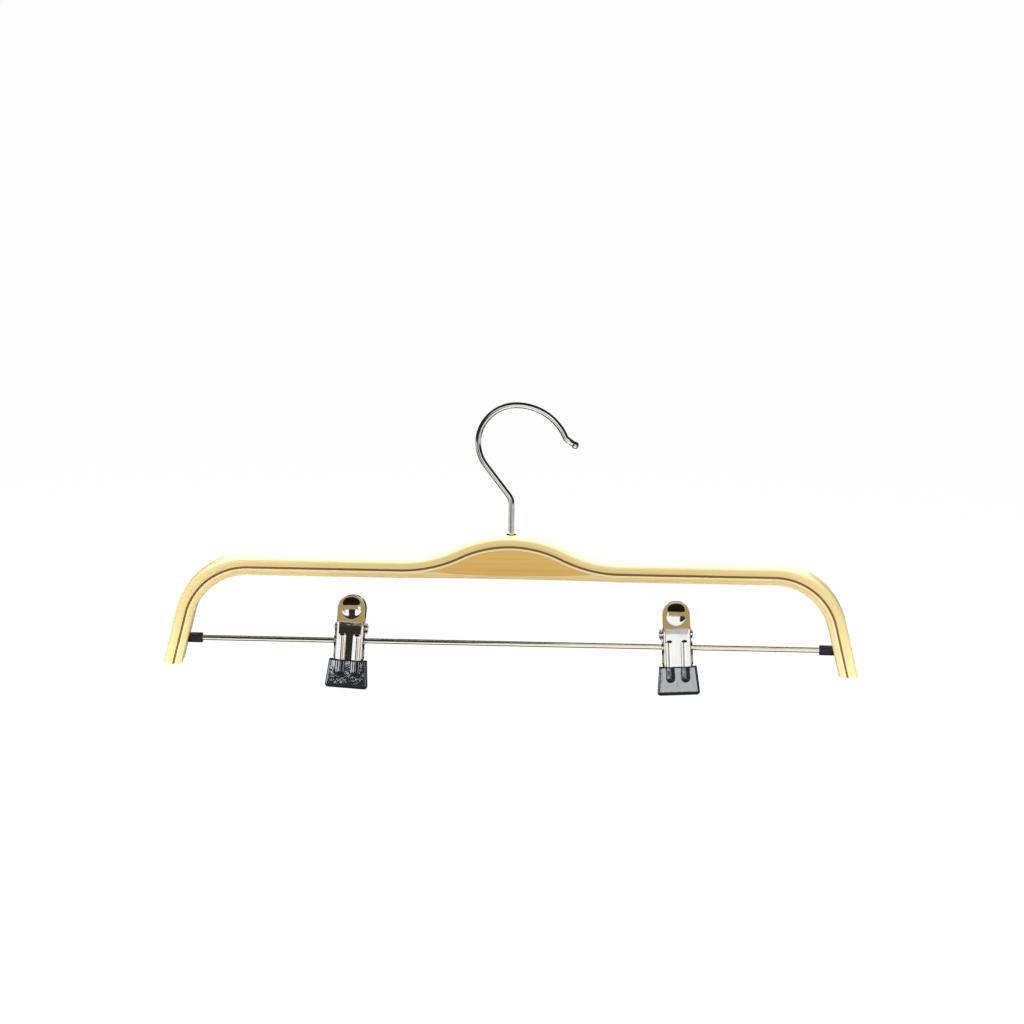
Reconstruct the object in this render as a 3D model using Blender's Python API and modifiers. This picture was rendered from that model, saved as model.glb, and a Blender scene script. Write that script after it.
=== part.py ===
"""Wooden clip hanger: a laminated bentwood bow on a swivelling wire hook, and a round rod between its arms
that carries two sprung clips.

Metres, +Z up. The origin is on the inside of the hook, straight above its shank, where a wardrobe rail lies.
+X runs along the rod, and the front faces -Y."""

from math import atan2, cos, pi, radians, sin, sqrt, tan

import bmesh
import bpy
from mathutils import Matrix, Vector

# Fits
GLUE_LINE = 0.0001
SEAT_GAP = 0.0003
RUNNING_CLEARANCE = 0.0001

# Laminated bow. Its middle line is the middle of the dark veneer
OVERALL_WIDTH = 0.380
BOW_DEPTH = 0.014
BOW_DROP = 0.0557
OUTER_PLY = 0.0049
CORE_VENEER = 0.00115
INNER_VENEER = 0.0011
LOWER_PLY = 0.0026
CORNER_RADIUS = 0.0353
ARM_LEAN = radians(14)
HUMP_HALF_WIDTH = 0.0597
HUMP_HEIGHT = 0.0141
CROWN_RADIUS = 0.061
EDGE_ROUND = 0.0014
OUTER_EDGE_ROUND = 0.0028
WEDGE_HALF_LENGTH = 0.0445
WEDGE_SAG = 0.0017
UNDERSIDE_CAMBER = 0.0005
WEDGE_BLUNT = 0.0015

# Hook
RAIL_TO_BOW = 0.0894
HOOK_WIRE = 0.0032
HOOK_RADIUS = 0.0208
HOOK_OFFSET = 0.0024
HOOK_OPEN_RADIUS = 0.0285
HOOK_OPEN_ANGLE = radians(66)
HOOK_NECK_LEAN = radians(37.3)
HOOK_NECK_RADIUS = 0.008
HOOK_FLICK_RADIUS = 0.004
HOOK_FLICK_ANGLE = radians(31)
HOOK_FLICK_LENGTH = 0.0054
HOOK_BALL = 0.0040
HOOK_HEAD = 0.0042
HOOK_HEAD_LENGTH = 0.0012
FERRULE_FLANGE = 0.0056
FERRULE_FLANGE_THICKNESS = 0.0008
FERRULE_SLEEVE = 0.0046
FERRULE_LENGTH = 0.009
FERRULE_SINK = 0.0010

# Rod and its caps
BAR_DIAMETER = 0.0028
BAR_DROP = 0.0419
BAR_SEAT_DEPTH = 0.0040
CAP_DIAMETER = 0.0055
CAP_LENGTH = 0.0076
CAP_EDGE = 0.0005

# Clips. A clip's own frame has its origin on the rod's axis
LEFT_CLIP_X = -0.0878
RIGHT_CLIP_X = 0.0913
LEFT_CLIP_LEAN = radians(3.6)
RIGHT_CLIP_LEAN = radians(-3.2)
CLIP_SWING = radians(-13.5)
SHEET = 0.0008
PIN_HEIGHT = 0.0072
PIN_DIAMETER = 0.0024
PIN_HEAD = 0.0062
PIN_HEAD_LENGTH = 0.0016
PIN_TAIL_LENGTH = 0.0004
BAR_HOLE_PLAY = 0.00065
FRONT_HALF_WIDTH = 0.00735
FLANGE_GAP = 0.0003
BEND_RADIUS = 0.0010
TAB_TOP = 0.0251
TAB_RADIUS = 0.0075
TAB_FOOT = 0.0113
DISH_HEIGHT = 0.0183
DISH_RADIUS = 0.0056
DISH_DEPTH = 0.0013
RIB_OFFSET = 0.0041
RIB_HALF_WIDTH = 0.0021
RIB_RISE = 0.0009
RIB_TOP = 0.0042
RIB_FOOT = -0.0191
RIB_END = 0.0022
EAR_RADIUS = 0.0031
BAR_LUG_RADIUS = 0.0036
EDGE_FLANGE = 0.0017
JAW_TIP = -0.0250
JAW_TIP_HALF_WIDTH = 0.0106
JAW_TIP_CORNER = 0.0016
BOOT_TOP = -0.0104
FLARE_TOP = -0.0101
FLARE_FOOT = -0.0127
# Distance of a jaw's middle surface from the plane between the jaws, by height
JAW_PROFILE = (
    (JAW_TIP, 0.0019),
    (BOOT_TOP, 0.0031),
    (PIN_HEIGHT, 0.0051),
    (TAB_FOOT, 0.0058),
    (TAB_TOP, 0.0094),
)

# Boots
BOOT_BOTTOM = -0.0261
BOOT_TOP_HALF_WIDTH = 0.01025
BOOT_BOTTOM_HALF_WIDTH = 0.0118
BOOT_CORNER = 0.0020
BOOT_EDGE = 0.0005
BOOT_WALL = 0.0008
BOOT_FIT = 0.0002
BOOT_PARTING = 0.00015
PAD_TOP = -0.0190

# Springs
SPRING_WIRE = 0.0010
SPRING_RADIUS = 0.0023
SPRING_PITCH = 0.0015
SPRING_TURNS = 5
SPRING_LEG_TOP = 0.0135
SPRING_LEG_LEAN = radians(22)
LEAST_COIL_GAP = 0.0004

# Facets
ROUND_STEPS = 24
ARC_STEP = radians(6.6)
COIL_STEPS = 10

# Worked out from the sizes above
BOW_Z = -RAIL_TO_BOW
BOW_END_Z = BOW_Z - BOW_DROP
BAR_Z = BOW_Z - BAR_DROP
BAR_RADIUS = BAR_DIAMETER / 2
OUTER_INSIDE = CORE_VENEER / 2 + GLUE_LINE
OUTER_SURFACE = OUTER_INSIDE + OUTER_PLY
VENEER_TOP = CORE_VENEER / 2 + GLUE_LINE
VENEER_BOTTOM = VENEER_TOP + INNER_VENEER
LOWER_TOP = VENEER_BOTTOM + GLUE_LINE
LOWER_SURFACE = LOWER_TOP + LOWER_PLY
REAR_HALF_WIDTH = FRONT_HALF_WIDTH + FLANGE_GAP + SHEET
CROWN_TOP = BOW_Z + HUMP_HEIGHT + OUTER_SURFACE
# Along an arm, the way from a line on it to the same line one layer in is longer when measured level
LEVEL = 1 / cos(ARM_LEAN)
MIDDLE_LINE_END_X = OVERALL_WIDTH / 2 - OUTER_SURFACE * LEVEL
MIDDLE_LINE_BAR_X = MIDDLE_LINE_END_X - (BAR_Z - BOW_END_Z) * tan(ARM_LEAN)
ARM_FACE_X = MIDDLE_LINE_BAR_X - LOWER_SURFACE * LEVEL


class Walk:
    """A line of straight runs and arcs in a plane, walked from a point. It keeps each point and its heading."""

    def __init__(self, x, z, heading):
        self.stations = [(Vector((x, z)), heading)]

    def ahead(self, length):
        point, heading = self.stations[-1]
        self.stations.append((point + length * Vector((cos(heading), sin(heading))), heading))

    def turn(self, radius, angle):
        """An arc. A positive angle turns left."""
        point, heading = self.stations[-1]
        side = 1 if angle > 0 else -1
        centre = point + side * radius * Vector((-sin(heading), cos(heading)))
        steps = max(2, round(abs(angle) / ARC_STEP))
        for step in range(1, steps + 1):
            now = heading + angle * step / steps
            self.stations.append((centre + side * radius * Vector((sin(now), -cos(now))), now))


def bow_walk(hump):
    """The right half of the bow's middle line, from the centre to the end of the arm."""
    if hump:
        angle = 2 * atan2(HUMP_HEIGHT, HUMP_HALF_WIDTH)
        flank_radius = HUMP_HALF_WIDTH / sin(angle) - CROWN_RADIUS
        walk = Walk(0, BOW_Z + HUMP_HEIGHT, 0)
        walk.turn(CROWN_RADIUS, -angle)
        walk.turn(flank_radius, angle)
    else:
        walk = Walk(0, BOW_Z, 0)
    arm_drop = BOW_DROP - CORNER_RADIUS * (1 - sin(ARM_LEAN))
    corner_x = MIDDLE_LINE_END_X - arm_drop * tan(ARM_LEAN) - CORNER_RADIUS * cos(ARM_LEAN)
    walk.ahead(corner_x - walk.stations[-1][0].x)
    walk.turn(CORNER_RADIUS, ARM_LEAN - pi / 2)
    walk.ahead(arm_drop / cos(ARM_LEAN))
    return walk.stations


def offset_half(stations, offset):
    """The line at a distance outside the middle line, which ends at the level of the arm's end."""
    points = [point + offset * Vector((-sin(heading), cos(heading))) for point, heading in stations]
    last, heading = points[-1], stations[-1][1]
    points[-1] = last + Vector((cos(heading), sin(heading))) * (BOW_END_Z - last.y) / sin(heading)
    return points


def both_halves(right):
    """A right half that starts on the centre line, joined to its mirror image, from left to right."""
    return [Vector((-point.x, point.y)) for point in reversed(right[1:])] + right


def height_on(line, x):
    """The height at x of a line that runs from left to right."""
    for a, b in zip(line, line[1:]):
        if a.x <= x <= b.x:
            return a.y + (b.y - a.y) * (x - a.x) / (b.x - a.x)
    raise ValueError("x lies outside the line")


def shallow_arc(reach, half_chord, sag, ends):
    """(x, z) points of an arc that sags below its ends' height, as far as reach each way."""
    radius = (half_chord**2 + sag**2) / (2 * sag)
    spots = [reach * step / 6 for step in range(-6, 7)]
    return [(x, ends - sag + radius - sqrt(radius**2 - x**2)) for x in spots]


def material(name, colour, roughness, metallic=0.0):
    made = bpy.data.materials.new(name)
    made.use_nodes = True
    shader = made.node_tree.nodes["Principled BSDF"]
    shader.inputs["Base Color"].default_value = (*colour, 1)
    shader.inputs["Roughness"].default_value = roughness
    shader.inputs["Metallic"].default_value = metallic
    return made


def new_object(name, data, collection):
    obj = bpy.data.objects.new(name, data)
    collection.objects.link(obj)
    return obj


def as_mesh(obj, collection):
    """The object as the viewport evaluates it, as a plain mesh with its transform applied. The source goes."""
    bpy.context.view_layer.update()
    graph = bpy.context.evaluated_depsgraph_get()
    mesh = bpy.data.meshes.new_from_object(obj.evaluated_get(graph))
    mesh.transform(obj.matrix_world)
    name = obj.name
    bpy.data.objects.remove(obj)
    mesh.name = name
    return new_object(name, mesh, collection)


def edit(obj, change):
    """Runs a change on the object's mesh through bmesh."""
    bm = bmesh.new()
    bm.from_mesh(obj.data)
    change(bm)
    bm.to_mesh(obj.data)
    bm.free()


def weld(bm):
    bmesh.ops.remove_doubles(bm, verts=bm.verts, dist=1e-6)
    bmesh.ops.recalc_face_normals(bm, faces=bm.faces)


def smooth(obj, angle=radians(35)):
    obj.data.shade_smooth()
    obj.data.set_sharp_from_angle(angle=angle)


def board(name, outline, depth, collection):
    """A closed outline in the XZ plane, thickened evenly about Y = 0. Its front and back are one face each."""
    curve = bpy.data.curves.new(name, "CURVE")
    curve.dimensions = "2D"
    curve.fill_mode = "BOTH"
    curve.extrude = depth / 2
    spline = curve.splines.new("POLY")
    spline.points.add(len(outline) - 1)
    for point, place in zip(spline.points, outline):
        point.co = (place.x, place.y, 0, 1)
    spline.use_cyclic_u = True
    drawn = new_object(name, curve, collection)
    drawn.rotation_euler = (pi / 2, 0, 0)
    made = as_mesh(drawn, collection)

    def clean(bm):
        weld(bm)
        for side in (-1, 1):
            flat = [face for face in bm.faces if face.normal.y * side > 0.99]
            bmesh.ops.dissolve_faces(bm, faces=flat)
        bmesh.ops.recalc_face_normals(bm, faces=bm.faces)

    edit(made, clean)
    return made


def round_exposed_edges(obj, exposed, radius):
    """Rounds the edges along an exposed line of a ply, and less so those round its level ends."""
    lined = {(round(point.x, 6), round(point.y, 6)) for point in exposed}

    def mark(bm):
        weight = bm.edges.layers.float.new("bevel_weight_edge")
        for edge in bm.edges:
            a, b = (vert.co for vert in edge.verts)
            on_line = all((round(end.x, 6), round(end.z, 6)) in lined for end in (a, b))
            at_end = all(abs(end.z - BOW_END_Z) < 1e-6 for end in (a, b))
            across = abs(a.y - b.y) > 1e-6
            if (on_line and at_end) if across else (on_line or at_end):
                edge[weight] = EDGE_ROUND / radius if at_end else 1

    edit(obj, mark)
    bevel = obj.modifiers.new("Rounded edges", "BEVEL")
    bevel.limit_method = "WEIGHT"
    bevel.width = radius
    bevel.segments = 3


def cylinder(name, radius, start, end, collection):
    """A round bar between two points."""
    way = end - start
    bm = bmesh.new()
    turn = way.to_track_quat("Z", "X").to_matrix().to_4x4()
    place = Matrix.Translation((start + end) / 2) @ turn
    bmesh.ops.create_cone(
        bm,
        cap_ends=True,
        segments=ROUND_STEPS,
        radius1=radius,
        radius2=radius,
        depth=way.length,
        matrix=place,
    )
    mesh = bpy.data.meshes.new(name)
    bm.to_mesh(mesh)
    bm.free()
    return new_object(name, mesh, collection)


def turned(name, profile, collection, closed):
    """A shape turned about Z from (radius, height) points that run down its outer side."""
    mesh = bpy.data.meshes.new(name)
    edges = [(i, i + 1) for i in range(len(profile) - 1)]
    if closed:
        edges.append((len(profile) - 1, 0))
    mesh.from_pydata([(radius, 0, height) for radius, height in profile], edges, [])
    obj = new_object(name, mesh, collection)
    screw = obj.modifiers.new("Turned", "SCREW")
    screw.steps = screw.render_steps = ROUND_STEPS
    screw.use_merge_vertices = True
    screw.merge_threshold = 1e-6
    screw.use_normal_calculate = True
    return obj


def tube(name, points, radii, thickness, resolution, collection):
    """A wire along points, whose radius at each point is a share of half its thickness."""
    curve = bpy.data.curves.new(name, "CURVE")
    curve.dimensions = "3D"
    curve.bevel_depth = thickness / 2
    curve.bevel_resolution = resolution
    curve.use_fill_caps = True
    spline = curve.splines.new("POLY")
    spline.points.add(len(points) - 1)
    for point, place, radius in zip(spline.points, points, radii):
        point.co = (*place, 1)
        point.radius = radius
    return new_object(name, curve, collection)


def cut(obj, cutter):
    boolean = obj.modifiers.new("Cut by " + cutter.name, "BOOLEAN")
    boolean.operation = "DIFFERENCE"
    boolean.solver = "EXACT"
    boolean.object = cutter


def hide_cutter(cutter):
    cutter.hide_render = True
    cutter.display_type = "WIRE"
    return cutter


def make_bow(parts, cutters, paints):
    """The four plies, bent round one middle line, and the block in the hump."""
    humped = bow_walk(True)
    plain = bow_walk(False)
    outer = both_halves(offset_half(humped, OUTER_SURFACE))
    outer_inside = both_halves(offset_half(humped, OUTER_INSIDE))
    core_top = both_halves(offset_half(humped, CORE_VENEER / 2))
    core_bottom = both_halves(offset_half(humped, -CORE_VENEER / 2))
    veneer_top = both_halves(offset_half(humped, -VENEER_TOP))
    veneer_bottom = both_halves(offset_half(humped, -VENEER_BOTTOM))
    lower_top = both_halves(offset_half(humped, -LOWER_TOP))
    underside = both_halves(offset_half(plain, -LOWER_SURFACE))
    underside = [point for point in underside if abs(point.x) > HUMP_HALF_WIDTH]
    underside[len(underside) // 2 : len(underside) // 2] = [
        Vector((x, -z)) for x, z in shallow_arc(HUMP_HALF_WIDTH, HUMP_HALF_WIDTH, UNDERSIDE_CAMBER, LOWER_SURFACE - BOW_Z)
    ]

    def seat(half_length, lift):
        """The shallow arc on which the block lies, as far as half_length each way."""
        tip = height_on(lower_top, WEDGE_HALF_LENGTH)
        return [Vector(spot) for spot in shallow_arc(half_length, WEDGE_HALF_LENGTH, WEDGE_SAG, tip + lift)]

    lower_line = [point for point in lower_top if point.x < -WEDGE_HALF_LENGTH]
    lower_line += seat(WEDGE_HALF_LENGTH, 0)
    lower_line += [point for point in lower_top if point.x > WEDGE_HALF_LENGTH]
    half = WEDGE_HALF_LENGTH - WEDGE_BLUNT
    block_top = [Vector((-half, height_on(lower_top, -half)))]
    block_top += [point for point in lower_top if abs(point.x) < half]
    block_top += [Vector((half, height_on(lower_top, half)))]

    plies = (
        ("outer_lamination", outer, outer_inside, outer, "pale ply"),
        ("core_veneer", core_top, core_bottom, (), "dark veneer"),
        ("inner_veneer", veneer_top, veneer_bottom, (), "inner veneer"),
        ("lower_lamination", lower_line, underside, underside, "pale ply"),
        ("wedge_block", block_top, seat(half, GLUE_LINE), None, "golden block"),
    )
    made = {}
    for name, upper, lower, exposed, paint in plies:
        ply = board(name, upper + lower[::-1], BOW_DEPTH, parts)
        if exposed is not None:
            round_exposed_edges(ply, exposed, OUTER_EDGE_ROUND if name == "outer_lamination" else EDGE_ROUND)
        ply.data.materials.append(paints[paint])
        made[name] = ply

    drill_depth = FERRULE_LENGTH + SEAT_GAP + HOOK_HEAD_LENGTH + SEAT_GAP
    drill = hide_cutter(
        cylinder(
            "hook_drilling",
            FERRULE_SLEEVE / 2 + GLUE_LINE,
            Vector((0, 0, CROWN_TOP - drill_depth)),
            Vector((0, 0, CROWN_TOP + OUTER_PLY)),
            cutters,
        )
    )
    recess = hide_cutter(
        cylinder(
            "ferrule_recess",
            FERRULE_FLANGE / 2 + GLUE_LINE,
            Vector((0, 0, CROWN_TOP - FERRULE_SINK)),
            Vector((0, 0, CROWN_TOP + OUTER_PLY)),
            cutters,
        )
    )
    cut(made["outer_lamination"], recess)
    bar_end = Vector((ARM_FACE_X + BAR_SEAT_DEPTH + SEAT_GAP, 0, 0))
    bar_middle = Vector((0, 0, BAR_Z))
    bore = hide_cutter(
        cylinder("bar_boring", BAR_RADIUS + RUNNING_CLEARANCE, bar_middle - bar_end, bar_middle + bar_end, cutters)
    )
    for name in ("outer_lamination", "core_veneer", "inner_veneer", "wedge_block"):
        cut(made[name], drill)
    for name in ("core_veneer", "inner_veneer", "lower_lamination"):
        cut(made[name], bore)
    for ply in made.values():
        smooth(ply)


def hook_line():
    """The wire's middle line from the top of the shank to the ball: a neck bend, the crook, and its flick."""
    centre_z = -sqrt((HOOK_RADIUS - HOOK_WIRE / 2) ** 2 - HOOK_OFFSET**2)
    neck_shift = HOOK_NECK_RADIUS * (1 - cos(HOOK_NECK_LEAN))
    run = (HOOK_RADIUS * cos(HOOK_NECK_LEAN) - HOOK_OFFSET - neck_shift) / sin(HOOK_NECK_LEAN)
    neck_z = centre_z - (HOOK_RADIUS + HOOK_NECK_RADIUS) * sin(HOOK_NECK_LEAN) - run * cos(HOOK_NECK_LEAN)
    walk = Walk(0, neck_z, pi / 2)
    walk.turn(HOOK_NECK_RADIUS, HOOK_NECK_LEAN)
    walk.ahead(run)
    walk.turn(HOOK_RADIUS, -HOOK_NECK_LEAN - pi / 2)
    walk.turn(HOOK_OPEN_RADIUS, -HOOK_OPEN_ANGLE)
    walk.turn(HOOK_FLICK_RADIUS, HOOK_FLICK_ANGLE)
    walk.ahead(HOOK_FLICK_LENGTH - HOOK_BALL / 2)
    return walk.stations


def make_hook(parts, paints):
    """The hook, upset below its ferrule, and the ferrule that it turns in."""
    sleeve_bottom = CROWN_TOP - FERRULE_LENGTH
    head_top = sleeve_bottom - SEAT_GAP
    head = HOOK_HEAD / HOOK_WIRE
    shoulder = HOOK_WIRE / 20
    shank = (
        (head_top - HOOK_HEAD_LENGTH, head * 0.8),
        (head_top - HOOK_HEAD_LENGTH + shoulder * 2, head),
        (head_top - shoulder, head),
        (head_top, 1),
    )
    line = hook_line()
    points = [(0, 0, z) for z, _ in shank] + [(point.x, 0, point.y) for point, _ in line]
    radii = [radius for _, radius in shank] + [1] * len(line)
    end, heading = line[-1]
    ball = HOOK_BALL / HOOK_WIRE
    start_angle = atan2(sqrt(ball**2 - 1), 1)
    for step in range(6):
        angle = pi - start_angle + (start_angle - pi + 0.2) * (step + 1) / 6
        along = HOOK_BALL / 2 * (cos(angle) - cos(pi - start_angle))
        place = end + along * Vector((cos(heading), sin(heading)))
        points.append((place.x, 0, place.y))
        radii.append(ball * sin(angle))
    hook = as_mesh(tube("hook", points, radii, HOOK_WIRE, 2, parts), parts)
    edit(hook, weld)
    smooth(hook, radians(50))
    hook.data.materials.append(paints["chrome"])

    bore = HOOK_WIRE / 2 + RUNNING_CLEARANCE
    flange_bottom = CROWN_TOP - FERRULE_SINK + SEAT_GAP / 2
    flange_top = flange_bottom + FERRULE_FLANGE_THICKNESS
    profile = (
        (bore, flange_top),
        (FERRULE_FLANGE / 2 - FERRULE_FLANGE_THICKNESS / 2, flange_top),
        (FERRULE_FLANGE / 2, flange_bottom + FERRULE_FLANGE_THICKNESS / 2),
        (FERRULE_FLANGE / 2, flange_bottom),
        (FERRULE_SLEEVE / 2, flange_bottom),
        (FERRULE_SLEEVE / 2, sleeve_bottom),
        (bore, sleeve_bottom),
    )
    ferrule = turned("hook_ferrule", profile, parts, closed=True)
    ferrule.data.materials.append(paints["chrome"])
    return hook


def make_bar(parts, cutters, paints):
    """The rod, and the caps that seat on the arms' slanted inner faces."""
    middle = Vector((0, 0, BAR_Z))
    reach = Vector((ARM_FACE_X + BAR_SEAT_DEPTH, 0, 0))
    bar = cylinder("trouser_bar", BAR_RADIUS, middle - reach, middle + reach, parts)
    smooth(bar)
    bar.data.materials.append(paints["chrome"])

    bore = BAR_RADIUS + RUNNING_CLEARANCE
    overlong = CAP_LENGTH + CAP_DIAMETER
    profile = (
        (bore, 0),
        (CAP_DIAMETER / 2 - CAP_EDGE, 0),
        (CAP_DIAMETER / 2, -CAP_EDGE),
        (CAP_DIAMETER / 2, -overlong),
        (bore, -overlong),
    )
    trim = 4 * CAP_DIAMETER
    for side, name in ((-1, "left_bar_cap"), (1, "right_bar_cap")):
        cap = turned(name, profile, parts, closed=True)
        cap.location = (side * (ARM_FACE_X - CAP_LENGTH), 0, BAR_Z)
        cap.rotation_euler = (0, -side * pi / 2, 0)
        mesh = bpy.data.meshes.new(name + "_trim")
        bm = bmesh.new()
        bmesh.ops.create_cube(bm, size=trim)
        bm.to_mesh(mesh)
        bm.free()
        trimmer = hide_cutter(new_object(name + "_trim", mesh, cutters))
        across = trim / 2 - SEAT_GAP
        lean = Vector((cos(ARM_LEAN), 0, sin(ARM_LEAN))) * across
        trimmer.location = (side * (ARM_FACE_X + lean.x), 0, BAR_Z + lean.z)
        trimmer.rotation_euler = (0, -side * ARM_LEAN, 0)
        cut(cap, trimmer)
        cap.data.materials.append(paints["black rubber"])


def jaw_distance(z):
    """How far a jaw's middle surface lies from the plane between the jaws, at height z."""
    for (z0, y0), (z1, y1) in zip(JAW_PROFILE, JAW_PROFILE[1:]):
        if z <= z1:
            return y0 + (y1 - y0) * (z - z0) / (z1 - z0)
    return JAW_PROFILE[-1][1]


def swell(x, z):
    """How far the two ribs stand out of a jaw's face at a point of it."""
    off = (abs(x) - RIB_OFFSET) / RIB_HALF_WIDTH
    end = min(1, (RIB_TOP - z) / RIB_END, (z - RIB_FOOT) / RIB_END)
    if abs(off) >= 1 or end <= 0:
        return 0
    return RIB_RISE * cos(pi / 2 * off) ** 2 * sin(pi / 2 * end)


def dish(x, z):
    """How far the round thumb dish sinks into a tab at a point of it."""
    spread = (x**2 + (z - DISH_HEIGHT) ** 2) / DISH_RADIUS**2
    return DISH_DEPTH * (1 - spread) if spread < 1 else 0


def half_width(z, body):
    """Half the width of a jaw's middle surface at height z. The body's half width is measured to its bend."""
    tab_centre = TAB_TOP - TAB_RADIUS
    if z > tab_centre:
        return sqrt(max(0, TAB_RADIUS**2 - (z - tab_centre) ** 2))
    if z > TAB_FOOT:
        return TAB_RADIUS
    if z > TAB_FOOT - 2 * SHEET:
        share = (z - TAB_FOOT + 2 * SHEET) / (2 * SHEET)
        return body + (TAB_RADIUS - body) * share
    if z > FLARE_TOP:
        return body
    boot_side = BOOT_TOP_HALF_WIDTH - BOOT_WALL
    if z > FLARE_FOOT:
        return body + (boot_side - body) * (FLARE_TOP - z) / (FLARE_TOP - FLARE_FOOT)
    wide = boot_side + (JAW_TIP_HALF_WIDTH - boot_side) * (FLARE_FOOT - z) / (FLARE_FOOT - JAW_TIP)
    corner = max(0, 1 - (z - JAW_TIP) / JAW_TIP_CORNER)
    return wide - JAW_TIP_CORNER * (1 - sqrt(max(0, 1 - corner**2)))


def lobe(z, centre, radius):
    """The edge of a round lobe about a height, as the distance past the plane between the jaws."""
    return sqrt(radius**2 - (z - centre) ** 2) if abs(z - centre) <= radius else -1


def flange_edge(z, rear):
    """Where a side flange ends, as the distance past the plane between the jaws."""
    edge = EDGE_FLANGE - jaw_distance(z)
    edge = max(edge, lobe(z, PIN_HEIGHT, EAR_RADIUS))
    if rear:
        edge = max(edge, lobe(z, 0, BAR_LUG_RADIUS))
        if 0 < z < PIN_HEIGHT:
            edge = max(edge, EAR_RADIUS * 0.6)
        slope = (z - BOOT_TOP) / (-BAR_LUG_RADIUS - BOOT_TOP)
        if 0 < slope < 1:
            edge = max(edge, (1 - slope) * (EDGE_FLANGE - jaw_distance(z)))
    return edge


def fold_share(z):
    """1 where a jaw's side is folded into a flange, 0 where its sheet runs out flat, as at the tab and in the boot."""
    above = (TAB_FOOT - z) / (3 * SHEET)
    below = (z - BOOT_TOP) / (2 * SHEET)
    return max(0, min(1, above, below))


def jaw_rows(rear):
    """Heights of a jaw's rows of faces: closer where its edge or its relief turns."""
    tip_corner = JAW_TIP + JAW_TIP_CORNER
    rows = [JAW_TIP, JAW_TIP + JAW_TIP_CORNER * 0.4, tip_corner, RIB_FOOT, RIB_FOOT + RIB_END / 2, RIB_FOOT + RIB_END]
    rows += [FLARE_FOOT, BOOT_TOP, BOOT_TOP + SHEET, BOOT_TOP + 2 * SHEET, 0]
    rows += [RIB_TOP - RIB_END, RIB_TOP, PIN_HEIGHT]
    lobes = [(PIN_HEIGHT, EAR_RADIUS)]
    if rear:
        lobes.append((0, BAR_LUG_RADIUS))
    for centre, radius in lobes:
        rows += [centre + radius * share for share in (-0.87, -0.5, 0.5, 0.87)]
    rows += [PIN_HEIGHT + EAR_RADIUS + share * SHEET for share in (0, 0.3)]
    rows.append(-BAR_LUG_RADIUS if rear else PIN_HEIGHT - EAR_RADIUS - 0.3 * SHEET)
    if not rear:
        rows.append(PIN_HEIGHT - EAR_RADIUS)
    rows += [TAB_FOOT - 2 * SHEET, TAB_FOOT]
    tab_centre = TAB_TOP - TAB_RADIUS
    rows += [DISH_HEIGHT - DISH_RADIUS * share for share in (0.94, 0.5, 0.15)]
    rows += [tab_centre + TAB_RADIUS * share for share in (0.4, 0.7, 0.88, 0.985)]
    rows.sort()
    kept = rows[:1]
    for row in rows[1:]:
        if row - kept[-1] > 0.2 * SHEET:
            kept.append(row)
    return kept


def jaw_half(name, rear, collection):
    """The right half of a pressed jaw's middle surface, open at x = 0, as a grid bent to its form."""
    body = (REAR_HALF_WIDTH if rear else FRONT_HALF_WIDTH) - SHEET / 2
    rows = jaw_rows(rear)
    rib_inner = RIB_OFFSET - RIB_HALF_WIDTH
    rib_outer = RIB_OFFSET + RIB_HALF_WIDTH
    third = RIB_HALF_WIDTH * 0.6
    flat = [0, rib_inner / 2, rib_inner, RIB_OFFSET - third, RIB_OFFSET, RIB_OFFSET + third, rib_outer]
    folds = 4
    columns = len(flat) + folds
    bm = bmesh.new()
    bmesh.ops.create_grid(bm, x_segments=columns - 1, y_segments=len(rows) - 1, size=0.5)
    for vert in bm.verts:
        column = round((vert.co.x + 0.5) * (columns - 1))
        z = rows[round((vert.co.y + 0.5) * (len(rows) - 1))]
        wide = half_width(z, body)
        bend = min(BEND_RADIUS, wide / 4)
        shrink = min(1, (wide - bend) / (TAB_RADIUS - BEND_RADIUS))
        inward = 0
        if column < len(flat):
            x = flat[column] * shrink
        else:
            step = column - len(flat)
            angle = pi / 2 * min(1, step / (folds - 2))
            folded_x = wide - bend * (1 - sin(angle))
            folded_in = bend * (1 - cos(angle))
            if step == folds - 1:
                folded_in = jaw_distance(z) + flange_edge(z, rear)
            flat_x = wide - bend * (1 - step / (folds - 1))
            fold = fold_share(z)
            x = flat_x + (folded_x - flat_x) * fold
            inward = folded_in * fold
        away = jaw_distance(z) + swell(x, z) - dish(x, z) - inward
        vert.co = (x, away if rear else -away, z)
    bmesh.ops.recalc_face_normals(bm, faces=bm.faces)
    mesh = bpy.data.meshes.new(name)
    bm.to_mesh(mesh)
    bm.free()
    return new_object(name, mesh, collection)


def add_sheet_modifiers(obj, thickness):
    mirror = obj.modifiers.new("Other half", "MIRROR")
    mirror.merge_threshold = 1e-5
    solidify = obj.modifiers.new("Sheet", "SOLIDIFY")
    solidify.thickness = thickness
    solidify.offset = 0
    solidify.use_even_offset = True


def make_jaw(name, rear, collection):
    """One pressed jaw, drilled for the pin and, on the rear jaw, for the rod."""
    jaw = jaw_half(name, rear, collection)
    add_sheet_modifiers(jaw, SHEET)
    half_length = 2 * REAR_HALF_WIDTH
    holes = [(PIN_HEIGHT, PIN_DIAMETER / 2 + RUNNING_CLEARANCE)]
    if rear:
        holes.append((0, BAR_RADIUS + BAR_HOLE_PLAY))
    drills = []
    for number, (z, radius) in enumerate(holes):
        ends = Vector((-half_length, 0, z)), Vector((half_length, 0, z))
        drills.append(cylinder(f"{name}_drill_{number}", radius, *ends, collection))
        cut(jaw, drills[-1])
    made = as_mesh(jaw, collection)
    for drill in drills:
        bpy.data.objects.remove(drill)
    edit(made, weld)
    smooth(made)
    return made


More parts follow.
